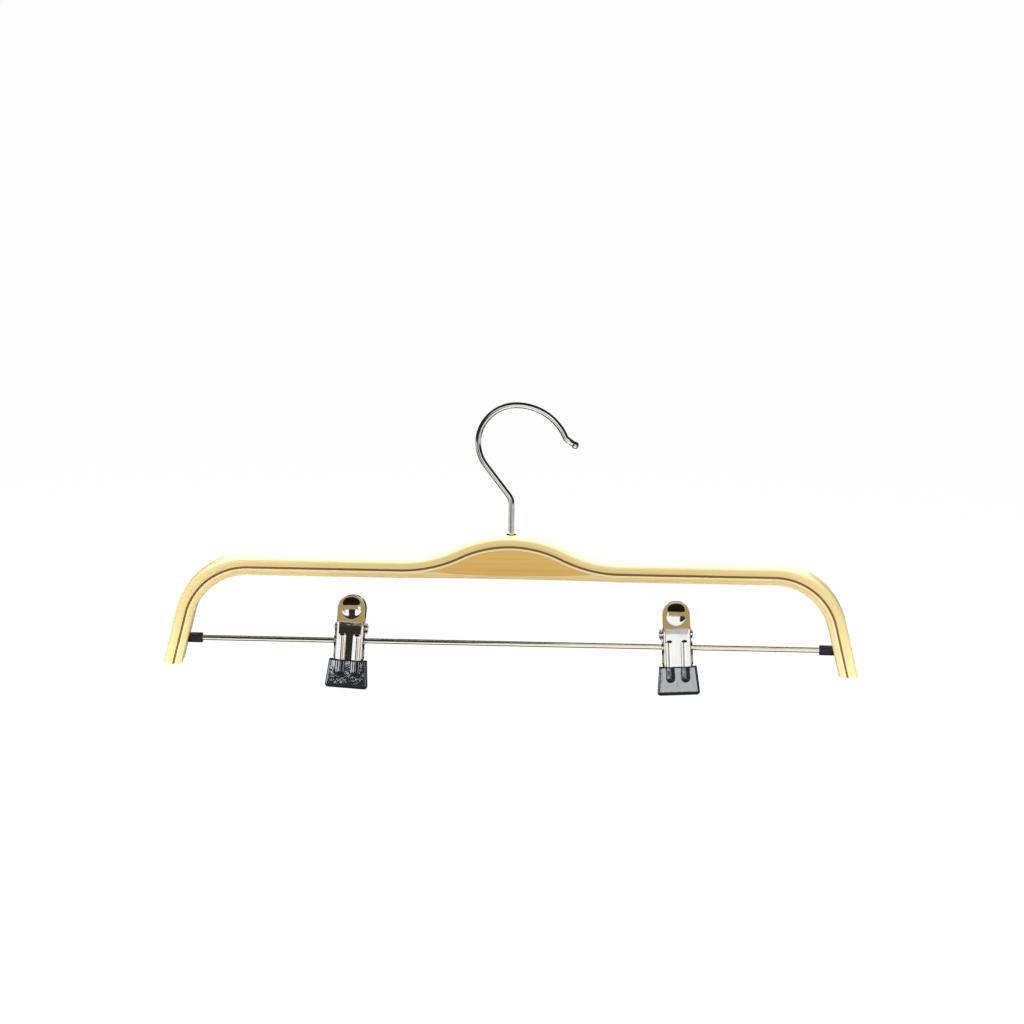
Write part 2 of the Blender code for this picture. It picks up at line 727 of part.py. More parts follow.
def boot_half_width(z):
    slant = (BOOT_BOTTOM_HALF_WIDTH - BOOT_TOP_HALF_WIDTH) / (BOOT_TOP - BOOT_BOTTOM)
    wide = BOOT_TOP_HALF_WIDTH + slant * (BOOT_TOP - z)
    corner = max(0, 1 - (z - BOOT_BOTTOM) / BOOT_CORNER)
    return wide - BOOT_CORNER * (1 - sqrt(max(0, 1 - corner**2)))


def boot_inner(z):
    """The boot's face towards the other boot: flat where the pads meet, then opening with the jaw."""
    top = jaw_distance(BOOT_TOP) - SHEET / 2 - BOOT_WALL
    share = max(0, (z - PAD_TOP) / (BOOT_TOP - PAD_TOP))
    return BOOT_PARTING + (top - BOOT_PARTING) * share


def make_boot(name, jaw_name, rear, collection):
    """A dipped cover over a jaw's tip, which shows the jaw's ribs. The jaw's own form is hollowed out of it."""
    rows = [BOOT_BOTTOM, BOOT_BOTTOM + BOOT_CORNER * 0.3, BOOT_BOTTOM + BOOT_CORNER]
    rows += [RIB_FOOT, RIB_FOOT + RIB_END / 2, RIB_FOOT + RIB_END, (BOOT_TOP + RIB_FOOT + RIB_END) / 2, BOOT_TOP]
    rib_inner = RIB_OFFSET - RIB_HALF_WIDTH
    rib_outer = RIB_OFFSET + RIB_HALF_WIDTH
    right = [rib_inner, RIB_OFFSET, rib_outer, None]
    columns = [(-1, x) for x in reversed(right)] + [(1, 0)] + [(1, x) for x in right]
    bm = bmesh.new()
    bmesh.ops.create_grid(bm, x_segments=len(columns) - 1, y_segments=len(rows) - 1, size=0.5)
    outer_verts = list(bm.verts)
    for vert in outer_verts:
        side, x = columns[round((vert.co.x + 0.5) * (len(columns) - 1))]
        z = rows[round((vert.co.y + 0.5) * (len(rows) - 1))]
        x = side * (boot_half_width(z) if x is None else x)
        away = jaw_distance(z) + SHEET / 2 + BOOT_WALL + swell(x, z)
        vert.co = (x, -away, z)
    extruded = bmesh.ops.extrude_face_region(bm, geom=list(bm.faces), use_keep_orig=True)
    for item in extruded["geom"]:
        if isinstance(item, bmesh.types.BMVert):
            item.co.y = -boot_inner(item.co.z)
    bmesh.ops.recalc_face_normals(bm, faces=bm.faces)
    if rear:
        bmesh.ops.scale(bm, vec=(1, -1, 1), verts=bm.verts)
        bmesh.ops.reverse_faces(bm, faces=bm.faces)
    mesh = bpy.data.meshes.new(name)
    bm.to_mesh(mesh)
    bm.free()
    boot = new_object(name, mesh, collection)
    bevel = boot.modifiers.new("Rounded rim", "BEVEL")
    bevel.width = BOOT_EDGE
    bevel.segments = 2
    bevel.angle_limit = radians(40)
    cavity = boot_cavity(jaw_name, rear, collection)
    cut(boot, cavity)
    made = as_mesh(boot, collection)
    bpy.data.objects.remove(cavity)
    edit(made, weld)
    smooth(made)
    return made


def boot_cavity(name, rear, collection):
    """The jaw's tip with the boot's fit all round it, and a stretch above, to hollow the boot out."""
    above = BOOT_TOP + 2 * BOOT_WALL
    rows = [JAW_TIP - BOOT_FIT, JAW_TIP + JAW_TIP_CORNER, RIB_FOOT, RIB_FOOT + RIB_END / 2, RIB_FOOT + RIB_END]
    rows += [FLARE_FOOT, BOOT_TOP, above]
    rib_inner = RIB_OFFSET - RIB_HALF_WIDTH
    third = RIB_HALF_WIDTH * 0.6
    right = [rib_inner, RIB_OFFSET - third, RIB_OFFSET, RIB_OFFSET + third, RIB_OFFSET + RIB_HALF_WIDTH, None]
    columns = [(-1, x) for x in reversed(right)] + [(1, 0)] + [(1, x) for x in right]
    bm = bmesh.new()
    bmesh.ops.create_grid(bm, x_segments=len(columns) - 1, y_segments=len(rows) - 1, size=0.5)
    body = (REAR_HALF_WIDTH if rear else FRONT_HALF_WIDTH) - SHEET / 2
    for vert in bm.verts:
        side, x = columns[round((vert.co.x + 0.5) * (len(columns) - 1))]
        z = rows[round((vert.co.y + 0.5) * (len(rows) - 1))]
        wide = half_width(max(z, JAW_TIP + JAW_TIP_CORNER), body) + BOOT_FIT
        x = side * (wide if x is None else x)
        away = jaw_distance(z) + swell(x, z)
        vert.co = (x, away if rear else -away, z)
    bmesh.ops.recalc_face_normals(bm, faces=bm.faces)
    mesh = bpy.data.meshes.new(name + "_cavity")
    bm.to_mesh(mesh)
    bm.free()
    cavity = new_object(name + "_cavity", mesh, collection)
    solidify = cavity.modifiers.new("Sheet", "SOLIDIFY")
    solidify.thickness = SHEET + 2 * BOOT_FIT
    solidify.offset = 0
    solidify.use_even_offset = True
    return cavity


def make_pin(name, collection):
    """A hinge pin with a domed head over one flange and a low one peened over the other."""
    inside = REAR_HALF_WIDTH + RUNNING_CLEARANCE
    profile = [(0, inside + PIN_HEAD_LENGTH)]
    for angle in (radians(30), radians(60), radians(80)):
        profile.append((PIN_HEAD / 2 * sin(angle), inside + PIN_HEAD_LENGTH * cos(angle)))
    profile += [(PIN_HEAD / 2, inside), (PIN_DIAMETER / 2, inside)]
    tail = inside + PIN_TAIL_LENGTH
    profile += [(PIN_DIAMETER / 2, -inside), (PIN_DIAMETER * 0.75, -inside), (PIN_DIAMETER / 2, -tail), (0, -tail)]
    pin = turned(name, profile, collection, closed=False)
    pin.rotation_euler = (0, pi / 2, 0)
    pin.location = (0, 0, PIN_HEIGHT)
    made = as_mesh(pin, collection)
    edit(made, weld)
    smooth(made)
    return made


def spring_points():
    """A torsion spring on the pin: down the rear leg, round the pin, and up the front leg."""
    sweep = 2 * pi * SPRING_TURNS - pi - 2 * SPRING_LEG_LEAN
    steps = round(sweep / (2 * pi) * COIL_STEPS)
    half_length = SPRING_PITCH * sweep / (4 * pi)
    coil = []
    for step in range(steps + 1):
        share = step / steps
        angle = -SPRING_LEG_LEAN - sweep * share
        y = SPRING_RADIUS * cos(angle)
        z = PIN_HEIGHT + SPRING_RADIUS * sin(angle)
        coil.append(Vector((half_length * (2 * share - 1), y, z)))
    leg = (SPRING_LEG_TOP - coil[0].z) / cos(SPRING_LEG_LEAN)
    out = Vector((0, sin(SPRING_LEG_LEAN), cos(SPRING_LEG_LEAN))) * leg
    rear_top = coil[0] + out
    front_top = coil[-1] + Vector((0, -out.y, out.z))
    return [rear_top, *coil, front_top]


def least_gap(points, thickness, apart):
    """The least space between stretches of a wire that are at least so many points apart."""
    nearest = min(
        (points[i] - points[j]).length for i in range(1, len(points) - 1) for j in range(i + apart, len(points) - 1)
    )
    return nearest - thickness


def make_spring(name, collection):
    points = spring_points()
    gap = least_gap(points, SPRING_WIRE, COIL_STEPS // 2)
    print(f"{name}: least gap between turns {gap * 1000:.2f} mm, over {LEAST_COIL_GAP * 1000:.1f} mm")
    spring = tube(name, points, [1] * len(points), SPRING_WIRE, 1, collection)
    made = as_mesh(spring, collection)
    edit(made, weld)
    smooth(made, radians(65))
    return made


def empty(name, location, parent, collection):
    made = new_object(name, None, collection)
    made.location = location
    made.parent = parent
    return made


def make_clips(parts, paints):
    """Both clips, from one set of meshes: each hangs on the rod, and its front jaw on the hinge pin."""
    shop = {
        "clip_front_jaw": (make_jaw("clip_front_jaw", False, parts), "chrome", True),
        "clip_front_boot": (make_boot("clip_front_boot", "clip_front_jaw", False, parts), "black dip", True),
        "clip_rear_jaw": (make_jaw("clip_rear_jaw", True, parts), "chrome", False),
        "clip_rear_boot": (make_boot("clip_rear_boot", "clip_rear_jaw", True, parts), "black dip", False),
        "clip_hinge_pin": (make_pin("clip_hinge_pin", parts), "chrome", False),
        "clip_spring": (make_spring("clip_spring", parts), "spring steel", False),
    }
    for piece, paint, _ in shop.values():
        piece.data.materials.append(paints[paint])
    for side, x, lean in (("left", LEFT_CLIP_X, LEFT_CLIP_LEAN), ("right", RIGHT_CLIP_X, RIGHT_CLIP_LEAN)):
        on_bar = empty(f"{side}_clip_on_bar", (x, 0, BAR_Z), None, parts)
        on_bar.rotation_euler = (CLIP_SWING, lean, 0)
        on_pin = empty(f"{side}_front_jaw_on_pin", (0, 0, PIN_HEIGHT), on_bar, parts)
        for name, (piece, _, opens) in shop.items():
            copy = new_object(f"{side}_{name}", piece.data, parts)
            copy.parent = on_pin if opens else on_bar
            copy.location = (0, 0, -PIN_HEIGHT if opens else 0)
            if name == "clip_hinge_pin" and side == "right":
                copy.rotation_euler = (0, 0, pi)
    for piece, _, _ in shop.values():
        bpy.data.objects.remove(piece)


def main():
    for obj in list(bpy.data.objects):
        bpy.data.objects.remove(obj)
    parts = bpy.data.collections.new("wooden_clip_hanger")
    cutters = bpy.data.collections.new("cutters")
    for collection in (parts, cutters):
        bpy.context.scene.collection.children.link(collection)
    paints = {
        "pale ply": material("pale ply", (0.72, 0.60, 0.38), 0.45),
        "dark veneer": material("dark veneer", (0.16, 0.10, 0.04), 0.5),
        "inner veneer": material("inner veneer", (0.75, 0.62, 0.38), 0.45),
        "golden block": material("golden block", (0.64, 0.43, 0.17), 0.4),
        "chrome": material("chrome", (0.82, 0.82, 0.84), 0.08, 1.0),
        "spring steel": material("spring steel", (0.5, 0.5, 0.52), 0.25, 1.0),
        "black rubber": material("black rubber", (0.02, 0.02, 0.02), 0.4),
        "black dip": material("black dip", (0.015, 0.018, 0.022), 0.12),
    }
    make_bow(parts, cutters, paints)
    make_hook(parts, paints)
    make_bar(parts, cutters, paints)
    make_clips(parts, paints)


main()
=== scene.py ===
"""Wooden clip hanger: its finished look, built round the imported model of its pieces.

Metres, +Z up. The origin is where a wardrobe rail lies in the hook, +X runs along the rod, and the front
faces -Y."""

from math import atan2, cos, hypot, pi, radians, sin, sqrt, tan

import bmesh
import bpy
from bpy.props import FloatProperty, FloatVectorProperty, PointerProperty
from mathutils import Matrix, Vector


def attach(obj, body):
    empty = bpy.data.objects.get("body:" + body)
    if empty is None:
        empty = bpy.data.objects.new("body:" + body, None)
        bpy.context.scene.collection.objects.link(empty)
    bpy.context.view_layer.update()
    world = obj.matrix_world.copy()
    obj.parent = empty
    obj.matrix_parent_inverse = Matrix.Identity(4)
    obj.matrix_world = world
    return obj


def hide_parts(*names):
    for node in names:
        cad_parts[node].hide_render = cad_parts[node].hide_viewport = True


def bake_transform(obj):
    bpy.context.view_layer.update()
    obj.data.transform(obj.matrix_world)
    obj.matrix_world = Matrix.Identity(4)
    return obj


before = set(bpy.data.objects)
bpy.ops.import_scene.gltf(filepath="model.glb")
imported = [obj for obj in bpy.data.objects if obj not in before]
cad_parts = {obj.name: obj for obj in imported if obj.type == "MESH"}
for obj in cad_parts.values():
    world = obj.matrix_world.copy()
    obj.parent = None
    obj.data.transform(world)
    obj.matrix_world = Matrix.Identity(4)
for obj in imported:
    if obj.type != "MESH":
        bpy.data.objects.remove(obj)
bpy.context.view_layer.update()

bl_info = {
    "name": "Wooden Clip Hanger",
    "version": (1, 0, 0),
    "blender": (4, 5, 0),
    "location": "3D View > Sidebar > Hanger",
    "description": "Builds a laminated wooden hanger with a wire hook, a rod and two sprung clips",
    "category": "Add Mesh",
}

# Bow
OVERALL_WIDTH = 0.380
BOW_DEPTH = 0.014
BOW_DROP = 0.0557
OUTER_PLY = 0.0049
CORE_VENEER = 0.00115
INNER_VENEER = 0.0011
LOWER_PLY = 0.0026
GLUE_LINE = 0.0001
ARRIS = 0.00006
CORNER_RADIUS = 0.0353
ARM_LEAN = radians(14)
HUMP_HALF_WIDTH = 0.0597
HUMP_HEIGHT = 0.0141
CROWN_RADIUS = 0.061
WEDGE_HALF_LENGTH = 0.0445
WEDGE_SAG = 0.0017
UNDERSIDE_CAMBER = 0.0005
WEDGE_BLUNT = 0.0015

# Hook
RAIL_TO_BOW = 0.0894
HOOK_RADIUS = 0.0208
HOOK_OFFSET = 0.0024
HOOK_OPEN_RADIUS = 0.0285
HOOK_OPEN_ANGLE = radians(66)
HOOK_NECK_LEAN = radians(37.3)
HOOK_NECK_RADIUS = 0.008
HOOK_FLICK_RADIUS = 0.004
HOOK_FLICK_ANGLE = radians(31)
HOOK_FLICK_LENGTH = 0.0054
HOOK_BALL = 0.0040
HOOK_BALL_FLAT = radians(4.58)
HOOK_HEAD = 0.0042
HOOK_HEAD_LENGTH = 0.0012
FERRULE_FLANGE = 0.0056
FERRULE_THICKNESS = 0.0008
FERRULE_SLEEVE = 0.0046
FERRULE_LENGTH = 0.009
FERRULE_SINK = 0.0010
FLANGE_ROUND = 0.0002
FLANGE_BREAK = 0.0001
SEAT_GAP = 0.0003
RUNNING_CLEARANCE = 0.0001

# Rod and caps
BAR_DROP = 0.0419
BAR_SEAT_DEPTH = 0.0040
CAP_DIAMETER = 0.0055
CAP_LENGTH = 0.0076
CAP_EDGE = 0.0003
CAP_MOUTH = 0.0002

# Clips. A clip's own frame has its origin on the rod's axis
CLIPS = (("left", -0.0878, radians(3.6)), ("right", 0.0913, radians(-3.2)))
CLIP_SWING = radians(-13.5)
PIN_HEIGHT = 0.0072
PIN_DIAMETER = 0.0024
PIN_HEAD = 0.0062
PIN_HEAD_LENGTH = 0.0016
PIN_TAIL_LENGTH = 0.0004
PIN_HEAD_EDGE = 0.00012
PIN_DOME_ANGLE = radians(88)
PIN_TIP = 0.00002
PEENED_TAIL = ((0.75, 0), (0.74, 0.4), (0.62, 0.85), (0.5, 1))
BAR_HOLE_PLAY = 0.00065
FRONT_HALF_WIDTH = 0.00735
FLANGE_GAP = 0.0003
BEND_RADIUS = 0.0010
TAB_TOP = 0.0251
TAB_RADIUS = 0.0075
TAB_FOOT = 0.0113
TAB_SHOULDER = 0.003
DISH_HEIGHT = 0.0183
DISH_RADIUS = 0.0056
DISH_LIP = 0.12
RIB_OFFSET = 0.0041
RIB_HALF_WIDTH = 0.0021
RIB_TOP = 0.0042
RIB_FOOT = -0.0191
EAR_RADIUS = 0.0031
BAR_LUG_RADIUS = 0.0036
EDGE_FLANGE = 0.0017
EAR_WEB = 0.00186
SHEET_BREAK = 0.00014
DRILL_REACH = 0.02
JAW_TIP = -0.0250
JAW_TIP_HALF_WIDTH = 0.0106
JAW_TIP_CORNER = 0.0016
BOOT_TOP = -0.0104
BOOT_BOTTOM = -0.0261
BOOT_TOP_HALF_WIDTH = 0.01025
BOOT_BOTTOM_HALF_WIDTH = 0.0118
BOOT_CORNER = 0.0020
BOOT_WALL = 0.0008
BOOT_PARTING = 0.00015
BOOT_ROLL = 0.001
BOOT_LIP = 0.0008
BOOT_NECK = 0.4
BOOT_SWELL = 1.15
BOOT_FOOT_ROUND = 0.0022
BOOT_SIDE_ROUND = 0.0013
BOOT_INNER_ROUND = 0.0009
PAD_TOP = -0.0190
FLARE_TOP = -0.0101
FLARE_FOOT = -0.0127
JAW_PROFILE = (
    (JAW_TIP, 0.0019),
    (BOOT_TOP, 0.0031),
    (PIN_HEIGHT, 0.0051),
    (TAB_FOOT, 0.0058),
    (TAB_TOP, 0.0094),
)
PROFILE_BLEND = 0.0013

# Springs
SPRING_RADIUS = 0.0023
SPRING_PITCH = 0.0015
SPRING_TURNS = 5
SPRING_LEG_TOP = 0.0135
SPRING_LEG_LEAN = radians(22)

# Facets
ARC_STEP = radians(1.6)
CORNER_STEPS = 6
ROUND_STEPS = 64
COIL_STEPS = 28
STRIP_STEP = 0.002
HOLE_STEPS = 48
BLOCK_STEPS = 60
BALL_STEPS = 16
ROD_STEPS = 40
DOME_STEPS = 12
BOOT_COLUMNS = 56
BOOT_ROW = 0.0004
QUARTER_TURN = [pi / 2 * step / CORNER_STEPS for step in range(CORNER_STEPS + 1)]

# Stage
HANGER_MIDDLE = (0, 0, -0.070)
FLOOR_DROP = 0.17
FLOOR_REACH = 60.0
PAPER_WHITE = 1.05

# Worked out from the sizes above
BOW_Z = -RAIL_TO_BOW
BOW_END_Z = BOW_Z - BOW_DROP
BAR_Z = BOW_Z - BAR_DROP
OUTER_INSIDE = CORE_VENEER / 2 + GLUE_LINE
OUTER_SURFACE = OUTER_INSIDE + OUTER_PLY
VENEER_BOTTOM = OUTER_INSIDE + INNER_VENEER
LOWER_TOP = VENEER_BOTTOM + GLUE_LINE
LOWER_SURFACE = LOWER_TOP + LOWER_PLY
CROWN_TOP = BOW_Z + HUMP_HEIGHT + OUTER_SURFACE
LEVEL = 1 / cos(ARM_LEAN)
SHANK_HOLE = FERRULE_LENGTH + SEAT_GAP + HOOK_HEAD_LENGTH + SEAT_GAP
MIDDLE_LINE_END_X = OVERALL_WIDTH / 2 - OUTER_SURFACE * LEVEL
ARM_FACE_X = MIDDLE_LINE_END_X - (BAR_Z - BOW_END_Z) * tan(ARM_LEAN) - LOWER_SURFACE * LEVEL
ROD_HOLE = ARM_FACE_X + BAR_SEAT_DEPTH + SEAT_GAP


def number(name, description, default, **limits):
    return FloatProperty(name=name, description=description, default=default, **limits)


def length(name, description, default):
    return number(name, description, default, min=0.0, precision=5, subtype="DISTANCE", unit="LENGTH")


def share(name, description, default, top=1.0):
    return number(name, description, default, min=0.0, max=top, subtype="FACTOR")


def turn(name, description, default):
    return number(name, description, radians(default), subtype="ANGLE", unit="ROTATION")


def power(name, description, default):
    return number(name, description, default, min=0.0, unit="POWER")


def colour(name, description, default):
    return FloatVectorProperty(
        name=name, description=description, default=default, size=3, min=0.0, max=1.0, subtype="COLOR"
    )


class HangerBow(bpy.types.PropertyGroup):
    edge_round: length("Edge round", "Radius of the bow's inner edges and of its ends", 0.0014)
    outer_edge_round: length("Outer edge round", "Radius of the bow's outer edges", 0.0028)
    ply_light: colour("Ply", "Pale face of the outer and lower plies", (0.86, 0.68, 0.325))
    ply_dark: colour("Ply grain", "Darker fibres of the outer and lower plies", (0.74, 0.545, 0.225))
    veneer_light: colour("Inner veneer", "Pale inner veneer", (0.97, 0.80, 0.46))
    veneer_dark: colour("Inner veneer grain", "Darker fibres of the inner veneer", (0.86, 0.67, 0.34))
    core_light: colour("Core veneer", "Dark core veneer", (0.215, 0.122, 0.022))
    core_dark: colour("Core veneer grain", "Darkest fibres of the core veneer", (0.13, 0.068, 0.010))
    block_light: colour("Block", "Golden block in the hump", (0.80, 0.505, 0.142))
    block_dark: colour("Block grain", "Darker fibres of the golden block", (0.70, 0.415, 0.10))


class HangerWire(bpy.types.PropertyGroup):
    hook_wire: length("Hook wire", "Diameter of the hook's wire", 0.0032)
    rod: length("Rod", "Diameter of the rod", 0.0028)
    chrome: colour("Chrome", "Colour of the plating", (0.86, 0.86, 0.865))
    chrome_roughness: share("Chrome roughness", "Roughness of the plating at its smoothest", 0.05)
    rod_plating: colour("Rod plating", "Colour of the rod's warmer plating", (0.78, 0.74, 0.65))
    # Painted shade: the collar's dark colour stands for the shadow in the gap round the shank's foot, not for
    # the plating's own colour.
    collar_shade: colour("Collar", "Dark plating of the collar at the shank's foot", (0.10, 0.09, 0.075))
    cap: colour("Cap", "Rubber of the caps on the rod's ends", (0.011, 0.011, 0.012))


class HangerClips(bpy.types.PropertyGroup):
    sheet: length("Sheet", "Thickness of the pressed steel", 0.0008)
    rib_rise: length("Rib rise", "Height of the two ribs on each jaw", 0.0009)
    dish_depth: length("Dish depth", "Depth of the round thumb dish", 0.0013)
    spring_wire: length("Spring wire", "Diameter of the springs' wire", 0.0010)
    dip: colour("Dip", "Glossy coat on the jaws' tips", (0.012, 0.014, 0.018))
    dip_roughness: share("Dip roughness", "Roughness of the dip coat at its smoothest", 0.07)
    spring: colour("Spring", "Bare steel of the springs", (0.52, 0.52, 0.53))


class HangerStage(bpy.types.PropertyGroup):
    azimuth: turn("Azimuth", "Camera's turn to the right of the front", 2.0)
    elevation: turn("Elevation", "Camera's height above the level", 13.7)
    roll: turn("Roll", "Camera's roll", 0.66)
    distance: length("Distance", "From the camera to the middle of the hanger", 1.8)
    lens: number("Lens", "Focal length for a 36 mm frame", 116.7, subtype="DISTANCE_CAMERA")
    sky: share("Sky", "Even light from all round", 0.5, 2.0)
    overhead: power("Overhead lamp", "Power of the large lamp above", 18.0)
    fill: power("Fill lamp", "Power of the lamp in front", 5.0)
    low: power("Low lamps", "Power of the lamps by the ends of the arms", 0.2)
    shine: power("Top shine", "Power of the lamp above that the lacquer mirrors", 28.0)
    back_shine: power("Back shine", "Power of the lamp behind that the lacquer mirrors", 4.5)
    strip: power("Strip lamp", "Power of the long lamp that the dipped tips mirror", 1.4)
    spot: power("Small lamp", "Power of the small lamp that the right tip mirrors", 0.2)
    wide_pane: power("Wide pane", "Power of the pane that the left tip mirrors at its side", 0.015556)
    slim_pane: power("Slim pane", "Power of the pane that the left tip mirrors in its middle", 0.006667)
    under: power("Under lamp", "Power of the low lamp that the wires mirror", 1.8)
    over: power("Over lamp", "Power of the warm lamp that the rod mirrors", 0.22)
    side: power("Side lamps", "Power of the lamps that the plates' ribs mirror", 1.3)
    rear: power("Rear lamp", "Power of the lamp that the plates mirror behind", 3.7)


class Walk:
    """A line of straight runs and arcs in a plane, walked from a point, with each point and its heading."""

    def __init__(self, x, z, heading):
        self.stations = [(Vector((x, z)), heading)]

    def ahead(self, run):
        point, heading = self.stations[-1]
        self.stations.append((point + run * Vector((cos(heading), sin(heading))), heading))

    def turn(self, radius, angle):
        """An arc. A positive angle turns left."""
        point, heading = self.stations[-1]
        side = 1 if angle > 0 else -1
        centre = point + side * radius * Vector((-sin(heading), cos(heading)))
        steps = max(2, round(abs(angle) / ARC_STEP))
        for step in range(1, steps + 1):
            now = heading + angle * step / steps
            self.stations.append((centre + side * radius * Vector((sin(now), -cos(now))), now))


def bow_walk(hump):
    """The right half of the bow's middle line, from the centre to the end of the arm."""
    if hump:
        angle = 2 * atan2(HUMP_HEIGHT, HUMP_HALF_WIDTH)
        walk = Walk(0, BOW_Z + HUMP_HEIGHT, 0)
        walk.turn(CROWN_RADIUS, -angle)
        walk.turn(HUMP_HALF_WIDTH / sin(angle) - CROWN_RADIUS, angle)
    else:
        walk = Walk(0, BOW_Z, 0)
        while walk.stations[-1][0].x < HUMP_HALF_WIDTH:
            walk.ahead(STRIP_STEP)
    arm_drop = BOW_DROP - CORNER_RADIUS * (1 - sin(ARM_LEAN))
    corner_x = MIDDLE_LINE_END_X - arm_drop * tan(ARM_LEAN) - CORNER_RADIUS * cos(ARM_LEAN)
    walk.ahead(corner_x - walk.stations[-1][0].x)
    walk.turn(CORNER_RADIUS, ARM_LEAN - pi / 2)
    walk.ahead(arm_drop / cos(ARM_LEAN))
    return walk.stations


def height_on(line, x):
    """The height at x of a line that runs from left to right."""
    for a, b in zip(line, line[1:]):
        if a.x <= x <= b.x:
            return a.y + (b.y - a.y) * (x - a.x) / (b.x - a.x)
    return line[-1].y


def hook_line():
    """The wire's middle line from the top of the shank to the ball: a neck bend, the crook, and its flick."""
    wire = bpy.context.scene.hanger_wire.hook_wire
    centre_z = -sqrt((HOOK_RADIUS - wire / 2) ** 2 - HOOK_OFFSET**2)
    neck_shift = HOOK_NECK_RADIUS * (1 - cos(HOOK_NECK_LEAN))
    run = (HOOK_RADIUS * cos(HOOK_NECK_LEAN) - HOOK_OFFSET - neck_shift) / sin(HOOK_NECK_LEAN)
    neck_z = centre_z - (HOOK_RADIUS + HOOK_NECK_RADIUS) * sin(HOOK_NECK_LEAN) - run * cos(HOOK_NECK_LEAN)
    walk = Walk(0, neck_z, pi / 2)
    walk.turn(HOOK_NECK_RADIUS, HOOK_NECK_LEAN)
    walk.ahead(run)
    walk.turn(HOOK_RADIUS, -HOOK_NECK_LEAN - pi / 2)
    walk.turn(HOOK_OPEN_RADIUS, -HOOK_OPEN_ANGLE)
    walk.turn(HOOK_FLICK_RADIUS, HOOK_FLICK_ANGLE)
    walk.ahead(HOOK_FLICK_LENGTH - HOOK_BALL / 2)
    return walk.stations


class Shade:
    """A socket of a shader's node tree, for use in Python expressions."""

    def __init__(self, tree, socket=None):
        self.tree = tree
        self.socket = socket

    def node(self, kind, settings=None, inputs=None, output=0):
        """Adds a node of a type, with its settings first and then values or links for its sockets."""
        made = self.tree.nodes.new(kind)
        for name, value in (settings or {}).items():
            if name != "stops":
                setattr(made, name, value)
                continue
            stops = made.color_ramp.elements
            for place, (position, tone) in enumerate(value):
                stop = stops[place] if place < 2 else stops.new(position)
                stop.position = position
                stop.color = (*tone, 1) if isinstance(tone, (tuple, list)) else (tone, tone, tone, 1)
        for key, value in (inputs or {}).items():
            if isinstance(value, Shade):
                self.tree.links.new(value.socket, made.inputs[key])
            else:
                made.inputs[key].default_value = value
        return Shade(self.tree, made.outputs[output]) if made.outputs else None

    def math(self, operation, *values):
        return self.node("ShaderNodeMath", {"operation": operation}, dict(enumerate(values)))

    def __add__(self, other):
        return self.math("ADD", self, other)

    __radd__ = __add__

    def __mul__(self, other):
        return self.math("MULTIPLY", self, other)

    __rmul__ = __mul__

    def __sub__(self, other):
        return self.math("SUBTRACT", self, other)

    def __rsub__(self, other):
        return self.math("SUBTRACT", other, self)

    def __pow__(self, other):
        return self.math("POWER", self, other)

    def ease(self, low, high):
        """0 below low, 1 above high, and an even slope with soft ends between them."""
        settings = {"interpolation_type": "SMOOTHSTEP"}
        return self.node("ShaderNodeMapRange", settings, {0: self, 1: low, 2: high})

    def scaled(self, *by):
        """The vector, stretched along its axes."""
        return self.node("ShaderNodeVectorMath", {"operation": "MULTIPLY"}, {0: self, 1: by})

    def noise(self, scale, detail=3.0, roughness=0.5):
        """Noise from 0 to 1 at these coordinates."""
        inputs = {"Vector": self, "Scale": scale, "Detail": detail, "Roughness": roughness}
        return self.node("ShaderNodeTexNoise", {}, inputs)

    def mix(self, low, high):
        """A colour between two, by this share."""
        return self.node("ShaderNodeMix", {"data_type": "RGBA"}, {0: self, 6: rgba(low), 7: rgba(high)}, 2)


def rgba(tone):
    """A colour's four channels, or a node's colour as it is."""
    return tone if isinstance(tone, Shade) else (*tone, 1)


def bump(height, strength, distance):
    """A surface direction tilted by fine relief."""
    return height.node("ShaderNodeBump", {}, {"Strength": strength, "Distance": distance, "Height": height})


def new_material(name):
    """An empty material: its surface shader and a start for expressions."""
    made = bpy.data.materials.new(name)
    made.use_nodes = True
    return made, made.node_tree.nodes["Principled BSDF"], Shade(made.node_tree)


def feed(made, shader, values):
    """Sets or links the sockets of a material's surface shader."""
    for name, value in values.items():
        if isinstance(value, Shade):
            made.node_tree.links.new(value.socket, shader.inputs[name])
        else:
            shader.inputs[name].default_value = value
    return made


def wood(name, light, dark, stripes, lacquer):
    """Lacquered wood whose fibres follow the bow: the grain coordinates run along, across and through it."""
    made, shader, start = new_material(name)
    grain = start.node("ShaderNodeAttribute", {"attribute_name": "grain"}, output=1)
    fibre = grain.scaled(26, 2600, 900).noise(1, 4, 0.6)
    streak = grain.scaled(9, stripes, 330).noise(1, 3, 0.55)
    tone = grain.scaled(14, 60, 60).noise(1, 2, 0.5)
    pores = grain.scaled(210, 4200, 2600).noise(1, 2, 0.5).ease(0.64, 0.76)
    amount = streak.ease(0.3, 0.75) * 0.55 + fibre.ease(0.3, 0.8) * 0.4 + tone.ease(0.3, 0.7) * 0.25
    body = (amount - 0.12).mix(light, dark)
    deep = tuple(channel * 0.72 for channel in dark)
    relief = fibre * 0.6 - pores * 0.8
    values = {
        "Base Color": (pores * 0.45).mix(body, deep),
        "Roughness": 0.36 + fibre * 0.16 + pores * 0.1,
        "Normal": bump(relief, 0.22, 0.00012),
        "Coat Weight": lacquer,
        "Coat Roughness": 0.16,
    }
    return feed(made, shader, values)


